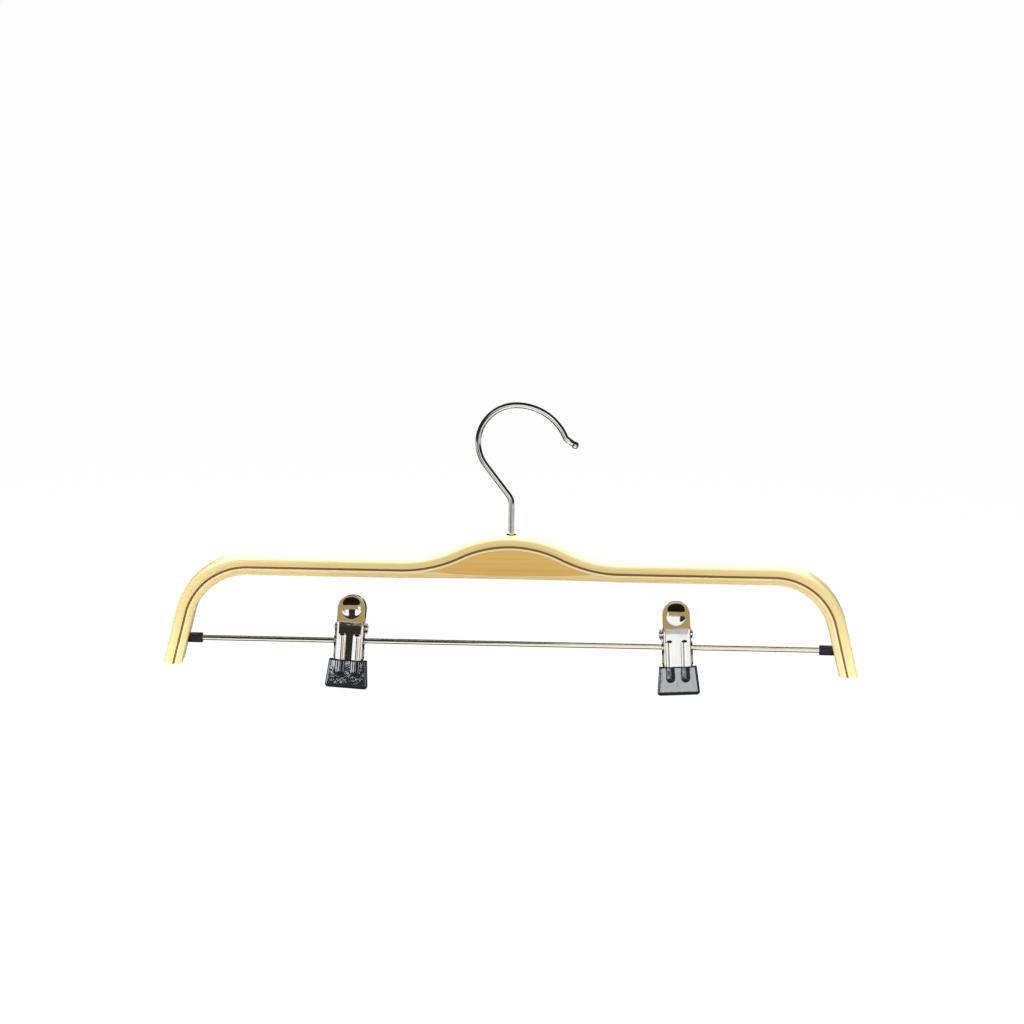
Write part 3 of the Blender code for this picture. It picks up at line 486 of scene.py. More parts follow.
def chrome(name, tone, roughness, wave):
    """Plated steel: a mirror with faint smudges, hairline polish marks and a slight wave from the press."""
    made, shader, start = new_material(name)
    place = start.node("ShaderNodeTexCoord", output=3)
    smudge = place.noise(320, 4, 0.6)
    lines = place.scaled(5200, 5200, 300).noise(1, 2, 0.5)
    values = {
        "Base Color": smudge.ease(0.35, 0.75).mix(tone, tuple(channel * 0.93 for channel in tone)),
        "Metallic": 1.0,
        "Roughness": roughness + smudge.ease(0.45, 0.8) * 0.07 + lines * 0.02,
        "Normal": bump(place.noise(260, 2, 0.5) + lines * 0.02, wave, 0.0004),
    }
    return feed(made, shader, values)


def dip_coat(name, tone, roughness):
    """A glossy dipped coat: black, with sags and pinholes that break up its reflections."""
    made, shader, start = new_material(name)
    place = start.node("ShaderNodeTexCoord", output=3)
    sag = place.scaled(1, 1, 0.6).noise(330, 3, 0.55)
    pits = place.noise(1500, 2, 0.5).ease(0.7, 0.82)
    values = {
        "Base Color": sag.mix(tone, tuple(channel * 1.7 for channel in tone)),
        "Roughness": roughness + sag.ease(0.4, 0.8) * 0.08 + pits * 0.2,
        "Normal": bump(sag + pits * -0.15, 0.22, 0.0009),
        "IOR": 1.5,
        "Coat Weight": 0.5,
        "Coat Roughness": 0.04,
    }
    return feed(made, shader, values)


def rubber(name, tone):
    """Satin moulded rubber with a fine skin."""
    made, shader, start = new_material(name)
    place = start.node("ShaderNodeTexCoord", output=3)
    skin = place.noise(2600, 3, 0.6)
    cloud = place.noise(420, 2, 0.5)
    values = {
        "Base Color": cloud.mix(tone, tuple(channel * 2.1 for channel in tone)),
        "Roughness": 0.34 + skin * 0.2,
        "Normal": bump(skin, 0.3, 0.00012),
    }
    return feed(made, shader, values)


def drawn_steel(name, tone):
    """Bare spring wire with drawing marks along it and a few darker stains."""
    made, shader, start = new_material(name)
    place = start.node("ShaderNodeTexCoord", output=3)
    marks = place.scaled(9000, 3000, 3000).noise(1, 3, 0.6)
    stain = place.noise(700, 3, 0.6).ease(0.5, 0.8)
    values = {
        "Base Color": stain.mix(tone, tuple(channel * 0.6 for channel in tone)),
        "Metallic": 1.0,
        "Roughness": 0.2 + marks * 0.16 + stain * 0.1,
        "Normal": bump(marks, 0.25, 0.0001),
    }
    return feed(made, shader, values)


def hanger_collection(name="wooden_clip_hanger"):
    """The collection of this name, made on first use."""
    found = bpy.data.collections.get(name)
    if not found:
        found = bpy.data.collections.new(name)
        bpy.context.scene.collection.children.link(found)
    return found


def new_object(name, data):
    """An object in the hanger's collection."""
    obj = bpy.data.objects.new(name, data)
    hanger_collection().objects.link(obj)
    return obj


def as_mesh(obj):
    """The object as a plain mesh, with its modifiers and transform applied. The object itself goes."""
    bpy.context.view_layer.update()
    graph = bpy.context.evaluated_depsgraph_get()
    mesh = bpy.data.meshes.new_from_object(obj.evaluated_get(graph))
    mesh.transform(obj.matrix_world)
    bpy.data.objects.remove(obj)
    return mesh


def smooth(mesh, angle=radians(38)):
    """Shades a mesh smooth, except over edges sharper than the angle."""
    mesh.shade_smooth()
    mesh.set_sharp_from_angle(angle=angle)
    return mesh


def weld(mesh):
    """Joins points that lie in one place and turns every face outward."""
    bm = bmesh.new()
    bm.from_mesh(mesh)
    bmesh.ops.remove_doubles(bm, verts=bm.verts, dist=1e-6)
    bmesh.ops.recalc_face_normals(bm, faces=bm.faces)
    bm.to_mesh(mesh)
    bm.free()
    return mesh


def finished(name, mesh, material, body, node, slot, *lit_with):
    """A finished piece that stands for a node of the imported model. Where it has a body, it moves with it.

    lit_with names the collections whose own lamps or cards it mirrors."""
    mesh.name = name
    mesh.materials.clear()
    mesh.materials.append(material)
    piece = new_object(name, mesh)
    if body:
        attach(piece, body)
    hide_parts(node)
    for group in lit_with:
        hanger_collection(group).objects.link(piece)
    return piece


def loft(name, rings, closed_ends=True):
    """A mesh through rings of points, each ring closed, and the ends filled."""
    count = len(rings[0])
    points = [point for ring in rings for point in ring]
    faces = []
    for row in range(len(rings) - 1):
        for i in range(count):
            j = (i + 1) % count
            base = row * count
            faces.append((base + i, base + j, base + count + j, base + count + i))
    if closed_ends:
        faces.append(tuple(range(count - 1, -1, -1)))
        last = (len(rings) - 1) * count
        faces.append(tuple(range(last, last + count)))
    mesh = bpy.data.meshes.new(name)
    mesh.from_pydata(points, [], faces)
    return mesh


def section(low, high, half, round_low, round_high):
    """A ply's section as (across, through) points, with its low and high corners rounded."""
    corners = (
        (low + round_low, round_low - half, round_low, pi),
        (high - round_high, round_high - half, round_high, 1.5 * pi),
        (high - round_high, half - round_high, round_high, 0),
        (low + round_low, half - round_low, round_low, 0.5 * pi),
    )
    points = []
    for across, through, radius, start in corners:
        for turned in QUARTER_TURN:
            angle = start + turned
            points.append((across + radius * cos(angle), through + radius * sin(angle)))
    return points


def set_grain(mesh, grain):
    """Gives each point of a mesh its grain coordinates: along, across and through the wood."""
    layer = mesh.attributes.new("grain", "FLOAT_VECTOR", "POINT")
    layer.data.foreach_set("vector", [value for vector in grain for value in vector])
    return mesh


def ply_mesh(name, stations, low, high, edge, end_edge, exposed):
    """A ply swept along the bow between two offsets, with its exposed edges and its ends rounded.

    stations are the right half's, low and high give the offsets at a station, and exposed is -1 where the low
    side is open to the air, 1 where the high side is, or 0."""
    half = BOW_DEPTH / 2
    round_low = edge if exposed < 0 else ARRIS
    round_high = edge if exposed > 0 else ARRIS
    right = []
    walked = 0
    for place, (point, heading) in enumerate(stations):
        if place:
            walked += (point - stations[place - 1][0]).length
        normal = Vector((-sin(heading), cos(heading)))
        bottom, top = low(point.x), high(point.x)
        ahead = Vector((cos(heading), sin(heading)))
        if place < len(stations) - 1:
            outline = section(bottom, top, half, round_low, round_high)
            ring = [(point + across * normal, walked, across, through) for across, through in outline]
            right.append(ring)
            continue
        for angle in QUARTER_TURN:
            inset = end_edge * (1 - cos(angle))
            level = BOW_END_Z + end_edge * (1 - sin(angle))
            inset_low = inset if exposed < 0 else 0
            inset_high = inset if exposed > 0 else 0
            outline = section(bottom + inset_low, top - inset_high, half - inset, round_low, round_high)
            ring = []
            for across, through in outline:
                spot = point + across * normal
                reach = (level - spot.y) / ahead.y
                ring.append((spot + reach * ahead, walked + reach, across, through))
            right.append(ring)
    rings = []
    grain = []
    for side, half_rings in ((-1, right[:0:-1]), (1, right)):
        for ring in half_rings:
            rings.append([(side * spot.x, through, spot.y) for spot, _, _, through in ring])
            grain += [(side * along, across, through) for _, along, across, through in ring]
    return smooth(set_grain(loft(name, rings), grain))


def circle(steps):
    """Even angles round a circle."""
    return [2 * pi * step / steps for step in range(steps)]


def drill(name, radius, start, end):
    """A round cutter between two (x, z) places in the middle plane."""
    begin = Vector((start[0], 0, start[1]))
    finish = Vector((end[0], 0, end[1]))
    side = (finish - begin).orthogonal().normalized()
    other = (finish - begin).normalized().cross(side)
    ring = [radius * (side * cos(angle) + other * sin(angle)) for angle in circle(HOLE_STEPS)]
    rings = [[place + way for way in ring] for place in (begin, finish)]
    return new_object(name + "_drill", weld(loft(name + "_drill", rings)))


def add_holes(obj, drills):
    """Adds a modifier to the object for each hole."""
    for cutter in drills:
        boolean = obj.modifiers.new("Hole", "BOOLEAN")
        boolean.operation = "DIFFERENCE"
        boolean.solver = "EXACT"
        boolean.object = cutter


def drilled(name, mesh, drills):
    """The mesh with holes cut by the drills."""
    obj = new_object(name, mesh)
    add_holes(obj, drills)
    return smooth(as_mesh(obj))


def put_away(drills):
    """Removes the drills once their holes are cut."""
    for cutter in drills:
        bpy.data.objects.remove(cutter)


def regrained(mesh, stations):
    """Gives points that a drill made their grain coordinates, from the nearest station of the middle line."""
    layer = mesh.attributes["grain"]
    walked = [0]
    for (a, _), (b, _) in zip(stations, stations[1:]):
        walked.append(walked[-1] + (b - a).length)
    for vert, data in zip(mesh.vertices, layer.data):
        if Vector(data.vector).length > GLUE_LINE:
            continue
        spot = Vector((abs(vert.co.x), vert.co.z))
        nearest = min(range(len(stations)), key=lambda i: (stations[i][0] - spot).length)
        point, heading = stations[nearest]
        off = spot - point
        along = walked[nearest] + off.dot(Vector((cos(heading), sin(heading))))
        across = off.dot(Vector((-sin(heading), cos(heading))))
        data.vector = (along if vert.co.x > 0 else -along, across, vert.co.y)
    return mesh


def lathe(name, profile, axis="Z"):
    """A shape turned from a closed loop of (radius, height) points."""
    rings = []
    for angle in circle(ROUND_STEPS):
        ring = []
        for radius, height in profile:
            x, y = radius * cos(angle), radius * sin(angle)
            ring.append((x, y, height) if axis == "Z" else (height, x, y))
        rings.append(ring)
    rings.append(rings[0])
    return smooth(weld(loft(name, rings, closed_ends=False)))


def tube(name, points, radii, thickness, roundness):
    """A wire along points, whose radius at each point is a share of half its thickness."""
    curve = bpy.data.curves.new(name, "CURVE")
    curve.dimensions = "3D"
    curve.bevel_depth = thickness / 2
    curve.bevel_resolution = roundness
    curve.use_fill_caps = True
    spline = curve.splines.new("POLY")
    spline.points.add(len(points) - 1)
    for point, place, radius in zip(spline.points, points, radii):
        point.co = (*place, 1)
        point.radius = radius
    return smooth(weld(as_mesh(new_object(name, curve))), radians(50))


def wedge_seat():
    """The block's flat-arched underside, as a height at x, and the line of the veneers' underside."""
    under = []
    for point, heading in bow_walk(True):
        under.append(point + LOWER_TOP * Vector((sin(heading), -cos(heading))))
    radius = (WEDGE_HALF_LENGTH**2 + WEDGE_SAG**2) / (2 * WEDGE_SAG)
    middle = height_on(under, WEDGE_HALF_LENGTH) - WEDGE_SAG + radius

    def seat(x):
        return middle - sqrt(radius**2 - x**2)

    return seat, under


def block_mesh(seat, under, slack, drills):
    """The lens-shaped block that fills the hump, with its grain along the bow."""
    rings = []
    half = WEDGE_HALF_LENGTH - WEDGE_BLUNT
    for step in range(BLOCK_STEPS + 1):
        x = half * (2 * step / BLOCK_STEPS - 1)
        bottom = seat(abs(x)) + slack
        top = height_on(under, abs(x)) - slack / 2
        rings.append([(x, through, z) for z, through in section(bottom, top, BOW_DEPTH / 2, ARRIS, ARRIS)])
    mesh = drilled("hump_block", smooth(loft("hump_block", rings)), drills)
    return set_grain(mesh, [(vert.co.x, vert.co.z - BOW_Z, vert.co.y) for vert in mesh.vertices])


class HANGER_OT_bow(bpy.types.Operator):
    """Bends the four plies round one middle line and sets the block in their hump"""

    bl_idname = "hanger.bow"
    bl_label = "Make Bow"

    def execute(self, context):
        bow = context.scene.hanger_bow
        wire = context.scene.hanger_wire
        humped, plain = bow_walk(True), bow_walk(False)
        seat, under = wedge_seat()
        camber_radius = (HUMP_HALF_WIDTH**2 + UNDERSIDE_CAMBER**2) / (2 * UNDERSIDE_CAMBER)

        def underside(x):
            if x > HUMP_HALF_WIDTH:
                return -LOWER_SURFACE
            return UNDERSIDE_CAMBER - camber_radius + sqrt(camber_radius**2 - x**2) - LOWER_SURFACE

        def lower_top(x):
            if x < WEDGE_HALF_LENGTH:
                return seat(x) - BOW_Z
            return height_on(under, x) - BOW_Z if x < HUMP_HALF_WIDTH else -LOWER_TOP

        slack = GLUE_LINE * 0.4
        core = CORE_VENEER / 2 + slack
        ply = wood("pale lacquered ply", bow.ply_light, bow.ply_dark, 1500, 0.6)
        dark = wood("dark core veneer", bow.core_light, bow.core_dark, 1800, 0.2)
        pale = wood("pale inner veneer", bow.veneer_light, bow.veneer_dark, 1500, 0.3)
        gold = wood("golden hump block", bow.block_light, bow.block_dark, 1050, 0.4)
        plies = (
            ("outer_ply", humped, core, OUTER_SURFACE, 1, ply, "outer_lamination", "pale_ply"),
            ("dark_line", humped, -core + slack, core - slack, 0, dark, "core_veneer", "dark_veneer"),
            ("pale_line", humped, -VENEER_BOTTOM - slack, -core, 0, pale, "inner_veneer", "inner_veneer"),
            ("lower_ply", plain, underside, lower_top, -1, ply, "lower_lamination", "pale_ply"),
        )
        above = CROWN_TOP + OUTER_PLY
        recess = drill("recess", FERRULE_FLANGE / 2 + GLUE_LINE, (0, CROWN_TOP - FERRULE_SINK), (0, above))
        shank = drill("shank", FERRULE_SLEEVE / 2 + GLUE_LINE, (0, CROWN_TOP - SHANK_HOLE), (0, above))
        rod = drill("rod", wire.rod / 2 + RUNNING_CLEARANCE, (-ROD_HOLE, BAR_Z), (ROD_HOLE, BAR_Z))
        holes = {
            "outer_ply": (recess, shank),
            "dark_line": (shank, rod),
            "pale_line": (shank, rod),
            "lower_ply": (rod,),
        }
        for name, stations, low, high, exposed, finish, node, slot in plies:
            bottom = low if callable(low) else lambda x, offset=low: offset
            top = high if callable(high) else lambda x, offset=high: offset
            edge = bow.outer_edge_round if exposed > 0 else bow.edge_round
            mesh = ply_mesh(name, stations, bottom, top, edge, bow.edge_round, exposed)
            mesh = regrained(drilled(name, mesh, holes[name]), stations)
            finished(name, mesh, finish, "frame", node, slot, "hanger_wood")
        block = block_mesh(seat, under, slack, (shank,))
        finished("hump_block", block, gold, "frame", "wedge_block", "golden_block")
        put_away((recess, shank, rod))
        return {"FINISHED"}


def hook_mesh(wire):
    """One wire: an upset head in the wood, the shank, the crook, and a ball at its tip."""
    line = hook_line()
    head = HOOK_HEAD / wire.hook_wire
    head_top = CROWN_TOP - FERRULE_LENGTH - SEAT_GAP
    chamfer = HOOK_HEAD_LENGTH / 6
    shank = (
        (head_top - HOOK_HEAD_LENGTH, head * 0.85),
        (head_top - HOOK_HEAD_LENGTH + chamfer, head),
        (head_top - chamfer, head),
        (head_top, 1),
    )
    points = [(0, 0, z) for z, _ in shank] + [(point.x, 0, point.y) for point, _ in line]
    radii = [radius for _, radius in shank] + [1] * len(line)
    end, heading = line[-1]
    ball = HOOK_BALL / wire.hook_wire
    first = pi - atan2(sqrt(ball**2 - 1), 1)
    for step in range(1, BALL_STEPS + 1):
        angle = first - (first - HOOK_BALL_FLAT) * step / BALL_STEPS
        along = HOOK_BALL / 2 * (cos(angle) - cos(first))
        place = end + along * Vector((cos(heading), sin(heading)))
        points.append((place.x, 0, place.y))
        radii.append(ball * sin(angle))
    return tube("hook_wire", points, radii, wire.hook_wire, 8)


def ferrule_mesh(wire):
    """A sleeve in the wood under a thin flange with a rounded rim."""
    bore = wire.hook_wire / 2 + RUNNING_CLEARANCE
    rim = FERRULE_FLANGE / 2
    sleeve = FERRULE_SLEEVE / 2
    foot = CROWN_TOP - FERRULE_LENGTH
    bottom = CROWN_TOP - FERRULE_SINK + SEAT_GAP / 2
    top = bottom + FERRULE_THICKNESS
    profile = [(bore, foot), (sleeve - SEAT_GAP, foot), (sleeve, foot + SEAT_GAP)]
    profile += [(sleeve, bottom), (rim - FLANGE_BREAK, bottom)]
    for angle in QUARTER_TURN:
        profile.append((rim - FLANGE_ROUND * (1 - cos(angle)), top - FLANGE_ROUND * (1 - sin(angle))))
    profile += [(bore + FLANGE_BREAK, top), (bore, top - FERRULE_THICKNESS / 10)]
    return lathe("shank_ferrule", profile)


class HANGER_OT_hook(bpy.types.Operator):
    """Bends the hook's wire and turns the ferrule at its foot"""

    bl_idname = "hanger.hook"
    bl_label = "Make Hook"

    def execute(self, context):
        wire = context.scene.hanger_wire
        plating = chrome("polished chrome wire", wire.chrome, wire.chrome_roughness, 0.03)
        finished("hook_wire", hook_mesh(wire), plating, "hook", "hook", "chrome_wire", "hanger_wires")
        # Painted shade: the collar gets a dark colour that stands for the shadow in the recess round the
        # shank's foot.
        collar_shade = chrome("dark plated collar", wire.collar_shade, wire.chrome_roughness + 0.08, 0.02)
        finished("shank_ferrule", ferrule_mesh(wire), collar_shade, "frame", "hook_ferrule", "chrome_wire")
        return {"FINISHED"}


def rod_mesh(radius):
    """The rod from seat to seat, with a chamfer at each end."""
    end = ARM_FACE_X + BAR_SEAT_DEPTH
    stations = [(end * (2 * step / ROD_STEPS - 1), radius) for step in range(ROD_STEPS + 1)]
    rings = []
    for x, reach in [(-end, radius - SEAT_GAP), *stations, (end, radius - SEAT_GAP)]:
        rings.append([(x, reach * cos(angle), BAR_Z + reach * sin(angle)) for angle in circle(ROUND_STEPS)])
    return smooth(loft("rod", rings))


def cap_mesh(name, side, bore):
    """A rubber cap whose foot is cut to the slant of its arm."""
    rim = CAP_DIAMETER / 2
    profile = [(bore, CAP_MOUTH), (bore + CAP_MOUTH, 0)]
    for angle in QUARTER_TURN:
        profile.append((rim - CAP_EDGE * (1 - sin(angle)), CAP_EDGE * (1 - cos(angle))))
    profile += [(rim, CAP_LENGTH), (bore, CAP_LENGTH)]
    mesh = lathe(name, profile, axis="X")
    for vert in mesh.vertices:
        x, y, z = vert.co
        cut = z * tan(ARM_LEAN) + SEAT_GAP / 10 if x > CAP_LENGTH / 2 else 0
        vert.co = (side * (ARM_FACE_X - CAP_LENGTH + x - cut), y, BAR_Z + z)
    return smooth(weld(mesh))


class HANGER_OT_rod(bpy.types.Operator):
    """Turns the rod and the caps that seat it on the arms"""

    bl_idname = "hanger.rod"
    bl_label = "Make Rod"

    def execute(self, context):
        wire = context.scene.hanger_wire
        plating = chrome("plated rod", wire.rod_plating, wire.chrome_roughness + 0.08, 0.02)
        radius = wire.rod / 2
        lit_with = ("hanger_wires", "hanger_rod")
        finished("rod", rod_mesh(radius), plating, "bar", "trouser_bar", "chrome_wire", *lit_with)
        skin = rubber("satin black rubber", wire.cap)
        for side, name in ((-1, "left"), (1, "right")):
            mesh = cap_mesh(f"{name}_cap", side, radius + RUNNING_CLEARANCE)
            finished(f"{name}_cap", mesh, skin, "frame", f"{name}_bar_cap", "black_rubber")
        return {"FINISHED"}


def straight_distance(z):
    """How far the unbent profile lies from the plane between the jaws."""
    for (z0, y0), (z1, y1) in zip(JAW_PROFILE, JAW_PROFILE[1:]):
        if z <= z1:
            return y0 + (y1 - y0) * (z - z0) / (z1 - z0)
    return JAW_PROFILE[-1][1]


def jaw_distance(z):
    """How far a jaw's middle surface lies from the plane between the jaws, with its bends eased."""
    spots = [z + PROFILE_BLEND * step / 3 for step in range(-3, 4)]
    return sum(straight_distance(spot) for spot in spots) / len(spots)


def swell(x, z, rise):
    """How far the two ribs stand out of a jaw's face: each is a round-ended bar with a soft crest."""
    low, high = RIB_FOOT + RIB_HALF_WIDTH, RIB_TOP - RIB_HALF_WIDTH
    off = hypot(abs(x) - RIB_OFFSET, z - min(max(z, low), high)) / RIB_HALF_WIDTH
    return rise * cos(pi / 2 * off) ** 1.5 if off < 1 else 0


def dish(x, z, depth):
    """How far the round thumb dish sinks into a tab."""
    spread = hypot(x, z - DISH_HEIGHT) / DISH_RADIUS
    if spread >= 1 + DISH_LIP:
        return 0
    if spread > 1 - DISH_LIP:
        edge = (1 + DISH_LIP - spread) / (2 * DISH_LIP)
        return depth * (1 - (1 - DISH_LIP) ** 2) * (edge**2 + edge) / 2
    return depth * (1 - spread**2)


def eased(part):
    """A share that starts and ends softly."""
    part = max(0, min(1, part))
    return part**2 * (3 - 2 * part)


def rounding(distance, radius):
    """The height of a rounded-over edge, as a share, at a distance in from it."""
    return sqrt(1 - (1 - min(1, max(0, distance / radius))) ** 2)


def half_width(z, body):
    """Half the width of a jaw's middle surface at height z."""
    tab_centre = TAB_TOP - TAB_RADIUS
    if z > tab_centre:
        return sqrt(max(0, TAB_RADIUS**2 - (z - tab_centre) ** 2))
    if z > TAB_FOOT - TAB_SHOULDER:
        return body + (TAB_RADIUS - body) * eased((z - TAB_FOOT + TAB_SHOULDER) / TAB_SHOULDER)
    if z > FLARE_TOP:
        return body
    flared = BOOT_TOP_HALF_WIDTH - BOOT_WALL
    if z > FLARE_FOOT:
        return body + (flared - body) * (FLARE_TOP - z) / (FLARE_TOP - FLARE_FOOT)
    wide = flared + (JAW_TIP_HALF_WIDTH - flared) * (FLARE_FOOT - z) / (FLARE_FOOT - JAW_TIP)
    return wide - JAW_TIP_CORNER * (1 - rounding(z - JAW_TIP, JAW_TIP_CORNER))


def lobe(z, centre, radius):
    """How far a round ear reaches at z, or -1 beside it."""
    return sqrt(radius**2 - (z - centre) ** 2) if abs(z - centre) <= radius else -1


def flange_edge(z, rear):
    """Where a side flange ends, as the distance past the plane between the jaws."""
    edge = EDGE_FLANGE - jaw_distance(z)
    edge = max(edge, lobe(z, PIN_HEIGHT, EAR_RADIUS))
    if rear:
        edge = max(edge, lobe(z, 0, BAR_LUG_RADIUS))
        if 0 < z < PIN_HEIGHT:
            edge = max(edge, EAR_WEB)
        slope = (z - BOOT_TOP) / (-BAR_LUG_RADIUS - BOOT_TOP)
        if 0 < slope < 1:
            edge = max(edge, (1 - slope) * (EDGE_FLANGE - jaw_distance(z)))
    return edge


def fold_share(z, sheet):
    """1 where a jaw's side is folded into a flange, 0 where its sheet runs out flat."""
    return eased(min((TAB_FOOT - z) / (3 * sheet), (z - BOOT_TOP) / (2 * sheet)))


def steps_between(low, high, step):
    """Even steps from low up to, but without, high."""
    count = max(1, round((high - low) / step))
    return [low + (high - low) * i / count for i in range(count)]


def jaw_mesh(name, rear, clips):
    """One pressed jaw: a grid bent to its form, mirrored, thickened, its edges broken, and drilled."""
    sheet = clips.sheet
    body = FRONT_HALF_WIDTH + (FLANGE_GAP + sheet if rear else 0) - sheet / 2
    tab_centre = TAB_TOP - TAB_RADIUS
    # The heights where the rows' spacing changes, with the new spacing
    bands = (
        (JAW_TIP, 0.0003),
        (JAW_TIP + JAW_TIP_CORNER, 0.0007),
        (FLARE_FOOT, 0.0005),
        (-BAR_LUG_RADIUS, 0.00032),
        (TAB_FOOT, 0.0005),
        (tab_centre, 0),
    )
    rows = []
    for (low, step), (high, _) in zip(bands, bands[1:]):
        rows += steps_between(low, high, step)
    rows += [tab_centre + TAB_RADIUS * sin(radians(angle)) for angle in range(0, 85, 4)]
    # Columns from the middle to the bend, round the bend, and down the flange
    flat, folds, flange = 18, 6, 4
    grid = []
    for z in rows:
        wide = half_width(z, body)
        bend = min(BEND_RADIUS, wide / 4)
        fold = fold_share(z, sheet)
        line = []
        for column in range(flat + folds + flange + 1):
            inward = 0
            if column <= flat:
                x = (wide - bend) * column / flat
            else:
                step = column - flat
                angle = pi / 2 * min(1, step / folds)
                folded_x = wide - bend * (1 - sin(angle))
                folded_in = bend * (1 - cos(angle))
                if step > folds:
                    edge = jaw_distance(z) + flange_edge(z, rear)
                    folded_in += (edge - folded_in) * (step - folds) / flange
                flat_x = wide - bend * (1 - step / (folds + flange))
                x = flat_x + (folded_x - flat_x) * fold
                inward = folded_in * fold
            relief = swell(x, z, clips.rib_rise) - dish(x, z, clips.dish_depth)
            away = jaw_distance(z) + relief - inward
            line.append((x, away if rear else -away, z))
        grid.append(line)
    obj = new_object(name, grid_mesh(name, grid))
    mirror = obj.modifiers.new("Other half", "MIRROR")
    mirror.merge_threshold = 1e-5
    solidify = obj.modifiers.new("Sheet", "SOLIDIFY")
    solidify.thickness = sheet
    solidify.offset = 0
    solidify.use_even_offset = True
    bevel = obj.modifiers.new("Broken edges", "BEVEL")
    bevel.width = SHEET_BREAK
    bevel.segments = 2
    bevel.angle_limit = radians(60)
    holes = [(PIN_HEIGHT, PIN_DIAMETER / 2 + RUNNING_CLEARANCE)]
    if rear:
        holes.append((0, bpy.context.scene.hanger_wire.rod / 2 + BAR_HOLE_PLAY))
    drills = [drill(name, radius, (-DRILL_REACH, z), (DRILL_REACH, z)) for z, radius in holes]
    add_holes(obj, drills)
    mesh = smooth(weld(as_mesh(obj)))
    put_away(drills)
    return mesh


def grid_mesh(name, grid):
    """A sheet of quads through rows of points."""
    width = len(grid[0])
    faces = []
    for row in range(len(grid) - 1):
        for column in range(width - 1):
            base = row * width + column
            faces.append((base, base + 1, base + width + 1, base + width))
    mesh = bpy.data.meshes.new(name)
    mesh.from_pydata([point for line in grid for point in line], [], faces)
    return weld(mesh)


def boot_side(z):
    """Half the width of a boot at height z."""
    slant = (BOOT_BOTTOM_HALF_WIDTH - BOOT_TOP_HALF_WIDTH) / (BOOT_TOP - BOOT_BOTTOM)
    return BOOT_TOP_HALF_WIDTH + slant * (BOOT_TOP - z)


def boot_mesh(name, rear, clips):
    """A dipped boot: its two faces swell from one rim, and the ribs of the jaw show through the outer one."""
    sheet = clips.sheet
    rows = [BOOT_BOTTOM + BOOT_CORNER * (1 - cos(radians(angle))) for angle in range(0, 90, 9)]
    rows += steps_between(BOOT_BOTTOM + BOOT_CORNER, BOOT_TOP - BOOT_ROLL, BOOT_ROW)
    rows += [BOOT_TOP - BOOT_ROLL * (1 - sin(radians(angle))) for angle in range(0, 91, 15)]
    outer, inner = [], []
    for z in rows:
        wide = boot_side(z) - BOOT_CORNER * (1 - rounding(z - BOOT_BOTTOM, BOOT_CORNER))
        middle = jaw_distance(z)
        neck = sheet * BOOT_NECK
        lip = rounding(BOOT_TOP - z, BOOT_LIP)
        opened = max(0, (z - PAD_TOP) / (BOOT_TOP - PAD_TOP))
        gap_top = jaw_distance(BOOT_TOP) - sheet / 2 - BOOT_WALL
        facing = BOOT_PARTING + (gap_top - BOOT_PARTING) * opened
        front, back = [], []
        for column in range(BOOT_COLUMNS + 1):
            x = wide * sin(pi / 2 * (2 * column / BOOT_COLUMNS - 1))
            side = boot_side(z) - abs(x)
            rise = z - BOOT_BOTTOM
            if side < BOOT_CORNER and rise < BOOT_CORNER:
                rim = BOOT_CORNER - hypot(BOOT_CORNER - side, BOOT_CORNER - rise)
            else:
                rim = min(side, rise)
            bulk = sheet / 2 + BOOT_WALL + swell(x, z, clips.rib_rise * BOOT_SWELL)
            edge_round = BOOT_FOOT_ROUND if rise < side else BOOT_SIDE_ROUND
            outward = (neck + (bulk - neck) * lip) * rounding(rim, edge_round)
            inward = (neck + (middle - facing - neck) * lip) * rounding(rim, BOOT_INNER_ROUND)
            front.append((x, middle + outward, z))
            back.append((x, middle - inward, z))
        outer.append(front)
        inner.append(back)
    mesh = grid_mesh(name, outer + inner[::-1] + outer[:1])
    bm = bmesh.new()
    bm.from_mesh(mesh)
    bmesh.ops.holes_fill(bm, edges=[edge for edge in bm.edges if edge.is_boundary])
    if not rear:
        bmesh.ops.scale(bm, vec=(1, -1, 1), verts=bm.verts)
    bmesh.ops.recalc_face_normals(bm, faces=bm.faces)
    bm.to_mesh(mesh)
    bm.free()
    return smooth(mesh, radians(60))


def pin_mesh(name, clips):
    """The hinge pin: a domed head over one flange, and a low tail peened over the other."""
    inside = FRONT_HALF_WIDTH + FLANGE_GAP + clips.sheet + RUNNING_CLEARANCE
    profile = []
    for step in range(DOME_STEPS + 1):
        angle = PIN_DOME_ANGLE * step / DOME_STEPS
        profile.append((PIN_HEAD / 2 * sin(angle), inside + PIN_HEAD_LENGTH * cos(angle)))
    profile += [(PIN_HEAD / 2, inside + PIN_HEAD_EDGE), (PIN_HEAD / 2 - PIN_HEAD_EDGE, inside)]
    profile += [(PIN_DIAMETER / 2, inside), (PIN_DIAMETER / 2, -inside)]
    profile += [(PIN_DIAMETER * wide, -inside - PIN_TAIL_LENGTH * out) for wide, out in PEENED_TAIL]
    profile += [(PIN_TIP, -inside - PIN_TAIL_LENGTH)]
    mesh = lathe(name, profile, axis="X")
    mesh.transform(Matrix.Translation((0, 0, PIN_HEIGHT)))
    return mesh


